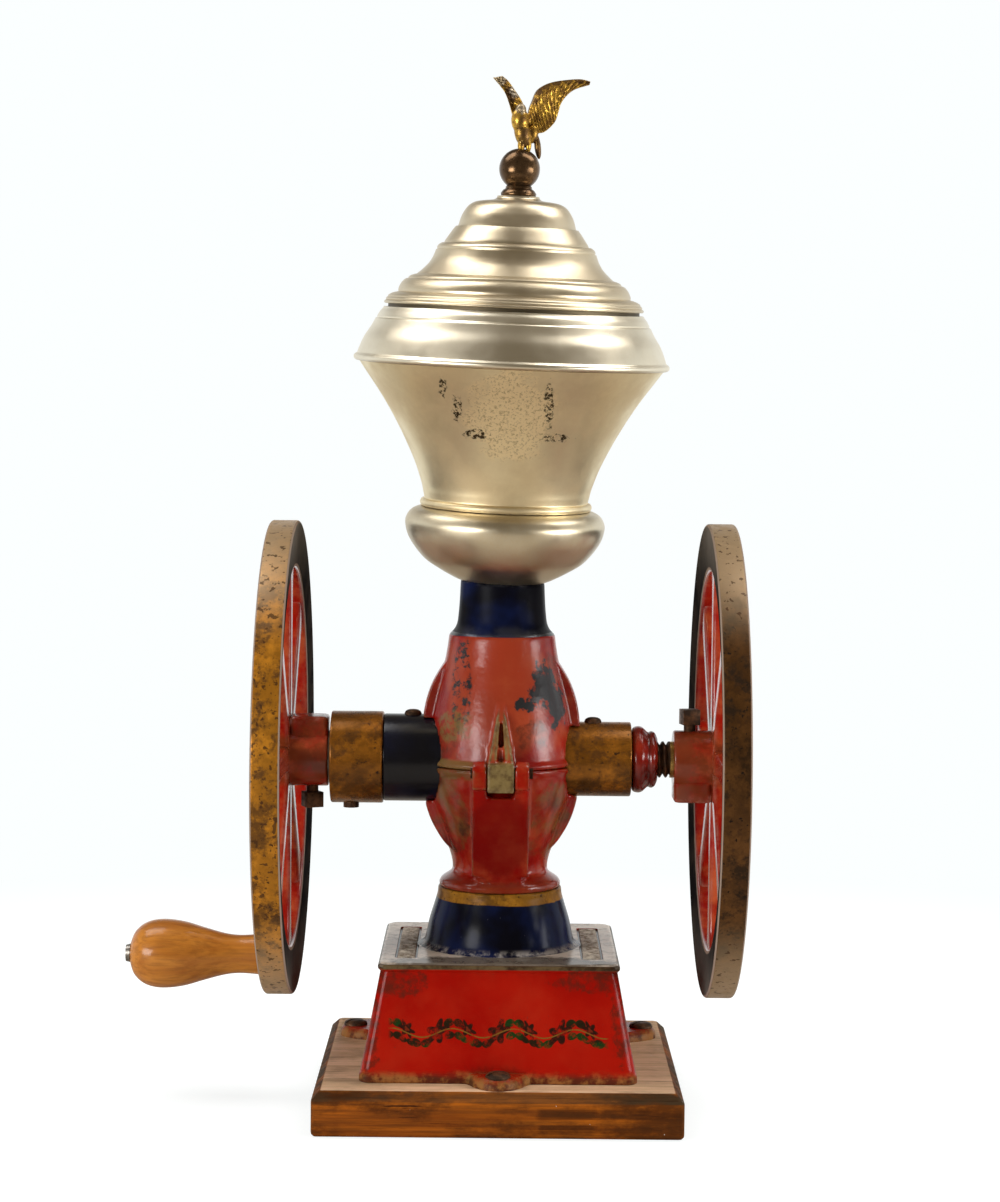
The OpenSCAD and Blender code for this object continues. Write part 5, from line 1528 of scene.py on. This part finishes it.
# %% Screws
def slotted_head(radius, tall, slot):
    dome = flow([(radius, 0), (radius * 0.985, tall * 0.3), (radius * 0.84, tall * 0.68),
                 (radius * 0.5, tall * 0.93), (0.0, tall)], 4)
    head = lathe("head", np.vstack([[(0.0, -1.5), (radius * 0.9, -1.5)], dome]), Matrix(), 48)
    cut = loft("slot", [rounded_rectangle(radius * 1.3, slot / 2, slot * 0.2, z, 2)
                        for z in (tall * 0.45, tall * 2)])
    return combine(head, cut, "DIFFERENCE")


lug_top = board_top + 5.9
lug_places = [(0, -LUG_OUT, lug_top), (-LUG_OUT, LUG_BACK, lug_top), (LUG_OUT, LUG_BACK, lug_top)]
screws = grow(on_places, slotted_head(7.0, 3.2, 1.5), {"Turn": math.radians(33), "Material": rusty_steel},
              lug_places)
show("foot_screw_heads", screws, rusty_steel, "frame", "rusty_steel", "base_screws")
oil_places = [(-51, 0, shaft_z + SLEEVE_LEFT - 0.6), (53, 0, shaft_z + SLEEVE_RIGHT - 0.6)]
oilers = grow(on_places, slotted_head(5.0, 3.4, 1.2), {"Turn": math.radians(30), "Material": rusty_steel},
              oil_places)
show("oil_screw_heads", oilers, rusty_steel, "frame", "rusty_steel", "oil_screws")

# %% [markdown]
# ## Small solids
# The remaining pieces are right as solids. Those that show get an eased edge; the ones inside keep their
# mesh. All of them get a finish of their own. The thrust spring is wound anew.

# %% Small solids
EASED = [("left_set_screw", 1.0, rusty_steel, "rotor", "rusty_steel"),
         ("right_set_screw", 1.0, rusty_steel, "rotor", "rusty_steel"),
         ("cap_screw", 0.6, rusty_steel, "frame", "rusty_steel"),
         ("clamp_screw", 0.8, rusty_steel, "clamp_turner", "rusty_steel"),
         ("clamp_foot", 0.6, rusty_steel, "clamp_slider", "rusty_steel"),
         ("drawer_front", 0.8, drawer_wood, "drawer", "drawer_wood"),
         ("drawer_left_side", 0.5, drawer_wood, "drawer", "drawer_wood"),
         ("drawer_right_side", 0.5, drawer_wood, "drawer", "drawer_wood"),
         ("drawer_back", 0.5, drawer_wood, "drawer", "drawer_wood"),
         ("drawer_bottom", 0.3, drawer_wood, "drawer", "drawer_wood")]
for node, ease, finish, body, slot in EASED:
    show(node + "_eased", eased_copy(node, ease), finish, body, slot, node)

SPRING_TURNS, SPRING_R, SPRING_WIRE = 4, 12.0, 1.4


def spring_mesh(left, right):
    """A coil round the shaft from left to right, in mm."""
    sections = []
    for step in range(SPRING_TURNS * 32 + 1):
        turn = step * math.pi / 16
        middle = left + (right - left) * step / (SPRING_TURNS * 32)
        ring = [(middle + SPRING_WIRE * math.sin(a), SPRING_R + SPRING_WIRE * math.cos(a))
                for a in np.linspace(0, 2 * math.pi, 10, endpoint=False)]
        sections.append([(x, r * math.cos(turn), shaft_z + r * math.sin(turn)) for x, r in ring])
    return loft("thrust_coil", sections)


spring_low, spring_high = (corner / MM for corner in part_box("thrust_spring"))
coil = show("thrust_coil", spring_mesh(spring_low.x + SPRING_WIRE, spring_high.x - SPRING_WIRE), plain_steel,
            "frame", "bright_steel", "thrust_spring")
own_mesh(coil)

KEPT = {rusty_steel: ["casing_bolts", "hinge_pin", "burr_screws", "hopper_screws", "clamp_ring"],
        plain_steel: ["shaft", "spring_seat", "handle_pin"],
        bush_bronze: ["left_bush", "right_bush", "thrust_washer", "finial_nut"],
        burr_iron: ["fixed_burr", "rotating_burr", "feed_screw"],
        seam_shade_nickel: ["lid_collar"],
        ball_bronze: ["drawer_knob"]}
for finish, names in KEPT.items():
    for name in names:
        nodes[name].data.materials.clear()
        nodes[name].data.materials.append(finish)
print("kept solids:", sum(len(names) for names in KEPT.values()))

# %% [markdown]
# ## Studio
# A white floor and a white surround, with large soft boxes at both sides and two more overhead. Polished
# metal shows what stands round it: white low down and behind, brown overhead and on the camera's side. That
# contrast draws the two bright bands and the dark middle of the lid, so the surround that reflections see is
# a gradient.


# %% Floor
FLOOR_R, FLOOR_WHITE = 0.95, 0.85


def floor_finish():
    """White. For the camera it glows, more so further out, so that only the soft shadow shows."""
    finish = Finish("floor_white", specular=0.5)
    path = finish.add("ShaderNodeLightPath").outputs
    paper = finish.tint(path["Is Glossy Ray"], (0.80, 0.80, 0.80), (0.50, 0.45, 0.38))
    away = finish.add("ShaderNodeVectorMath", {0: finish.place}, operation="LENGTH").outputs["Value"]

    def outwards(near, near_level, far_level):
        """A level that changes in a straight line until the floor is all white."""
        return finish.add("ShaderNodeMapRange", {"Value": away, "From Min": near, "From Max": FLOOR_WHITE,
                                                 "To Min": near_level, "To Max": far_level}).outputs[0]

    glow = finish.add("ShaderNodeEmission", {"Color": (0.97, 1.0, 1.0), "Strength": outwards(0.3, 0.80, 1.0)})
    matte = finish.add("ShaderNodeBsdfDiffuse", {"Color": outwards(0.4, 0.35, 0.0)})
    seen = finish.add("ShaderNodeAddShader", {0: glow.outputs[0], 1: matte.outputs[0]})
    mix = finish.add("ShaderNodeMixShader", {0: path["Is Camera Ray"], 1: finish.shader.outputs[0],
                                             2: seen.outputs[0]})
    finish.feed(finish.tree.nodes["Material Output"].inputs[0], mix.outputs[0])
    return finish.done(paper, 0.9)


def floor_plane():
    """A round floor. It ends where it has turned white, so glossy fronts mirror the dark room beyond it."""
    turn = np.linspace(0, 2 * math.pi, 96, endpoint=False)
    rim = [(FLOOR_R * math.cos(a), FLOOR_R * math.sin(a), -0.0005) for a in turn]
    mesh = bpy.data.meshes.new("floor")
    mesh.from_pydata(rim, [], [tuple(range(len(rim)))])
    mesh.materials.append(floor_finish())
    obj = bpy.data.objects.new("floor", mesh)
    scene.collection.objects.link(obj)


# %% Lamps
def soft_box(name, place, size, power):
    data = bpy.data.lights.new(name, "AREA")
    data.shape = "RECTANGLE"
    data.size, data.size_y = size
    data.energy = power
    obj = bpy.data.objects.new(name, data)
    scene.collection.objects.link(obj)
    aim = Vector((0, 0, 0.32)) - Vector(place)
    obj.matrix_world = Matrix.Translation(place) @ aim.to_track_quat("-Z", "Y").to_matrix().to_4x4()
    obj.visible_camera = False


# %% Surround
def white_surround():
    """White for the camera. Reflections see white low and behind, and a dark room above and in front."""
    world = bpy.data.worlds.new("surround")
    scene.world = world
    world.use_nodes = True
    tree = world.node_tree

    def math_node(operation, a, b):
        node = tree.nodes.new("ShaderNodeMath")
        node.operation = operation
        for socket, value in zip(node.inputs, (a, b)):
            if isinstance(value, bpy.types.NodeSocket):
                tree.links.new(value, socket)
            else:
                socket.default_value = value
        return node.outputs[0]

    def slope(value, low, high):
        node = tree.nodes.new("ShaderNodeMapRange")
        node.interpolation_type = "SMOOTHSTEP"
        node.inputs["From Min"].default_value = low
        node.inputs["From Max"].default_value = high
        tree.links.new(value, node.inputs["Value"])
        return node.outputs[0]

    fill = tree.nodes["Background"]
    fill.inputs["Color"].default_value = (0.78, 0.70, 0.60, 1)
    fill.inputs["Strength"].default_value = 0.22
    seen = tree.nodes.new("ShaderNodeBackground")
    seen.inputs["Color"].default_value = (0.97, 1.0, 1.0, 1)
    seen.inputs["Strength"].default_value = 1.0
    room = tree.nodes.new("ShaderNodeBackground")
    room.inputs["Color"].default_value = (0.30, 0.25, 0.18, 1)
    room.inputs["Strength"].default_value = 0.55
    direction = tree.nodes.new("ShaderNodeTexCoord")
    split = tree.nodes.new("ShaderNodeSeparateXYZ")
    tree.links.new(direction.outputs["Generated"], split.inputs[0])
    low = slope(split.outputs["Z"], 0.62, 0.22)
    behind = slope(split.outputs["Y"], -0.35, 0.15)
    path = tree.nodes.new("ShaderNodeLightPath")
    gloss = math_node("MULTIPLY", path.outputs["Is Glossy Ray"], math_node("MULTIPLY", low, behind))
    share = math_node("MAXIMUM", path.outputs["Is Camera Ray"], path.outputs["Is Transmission Ray"])
    dim = tree.nodes.new("ShaderNodeMixShader")
    tree.links.new(path.outputs["Is Glossy Ray"], dim.inputs[0])
    tree.links.new(fill.outputs[0], dim.inputs[1])
    tree.links.new(room.outputs[0], dim.inputs[2])
    mix = tree.nodes.new("ShaderNodeMixShader")
    tree.links.new(math_node("MAXIMUM", share, gloss), mix.inputs[0])
    tree.links.new(dim.outputs[0], mix.inputs[1])
    tree.links.new(seen.outputs[0], mix.inputs[2])
    tree.links.new(mix.outputs[0], tree.nodes["World Output"].inputs[0])


floor_plane()
soft_box("soft_box_left", (-1.15, -1.05, 0.36), (0.80, 0.46), 16.5)
soft_box("soft_box_right", (1.38, -0.62, 0.36), (0.80, 0.46), 14.5)
soft_box("overhead_left", (-0.80, 0.10, 1.70), (0.75, 1.1), 14)
soft_box("overhead_right", (0.80, 0.10, 1.70), (0.75, 1.1), 14)
white_surround()
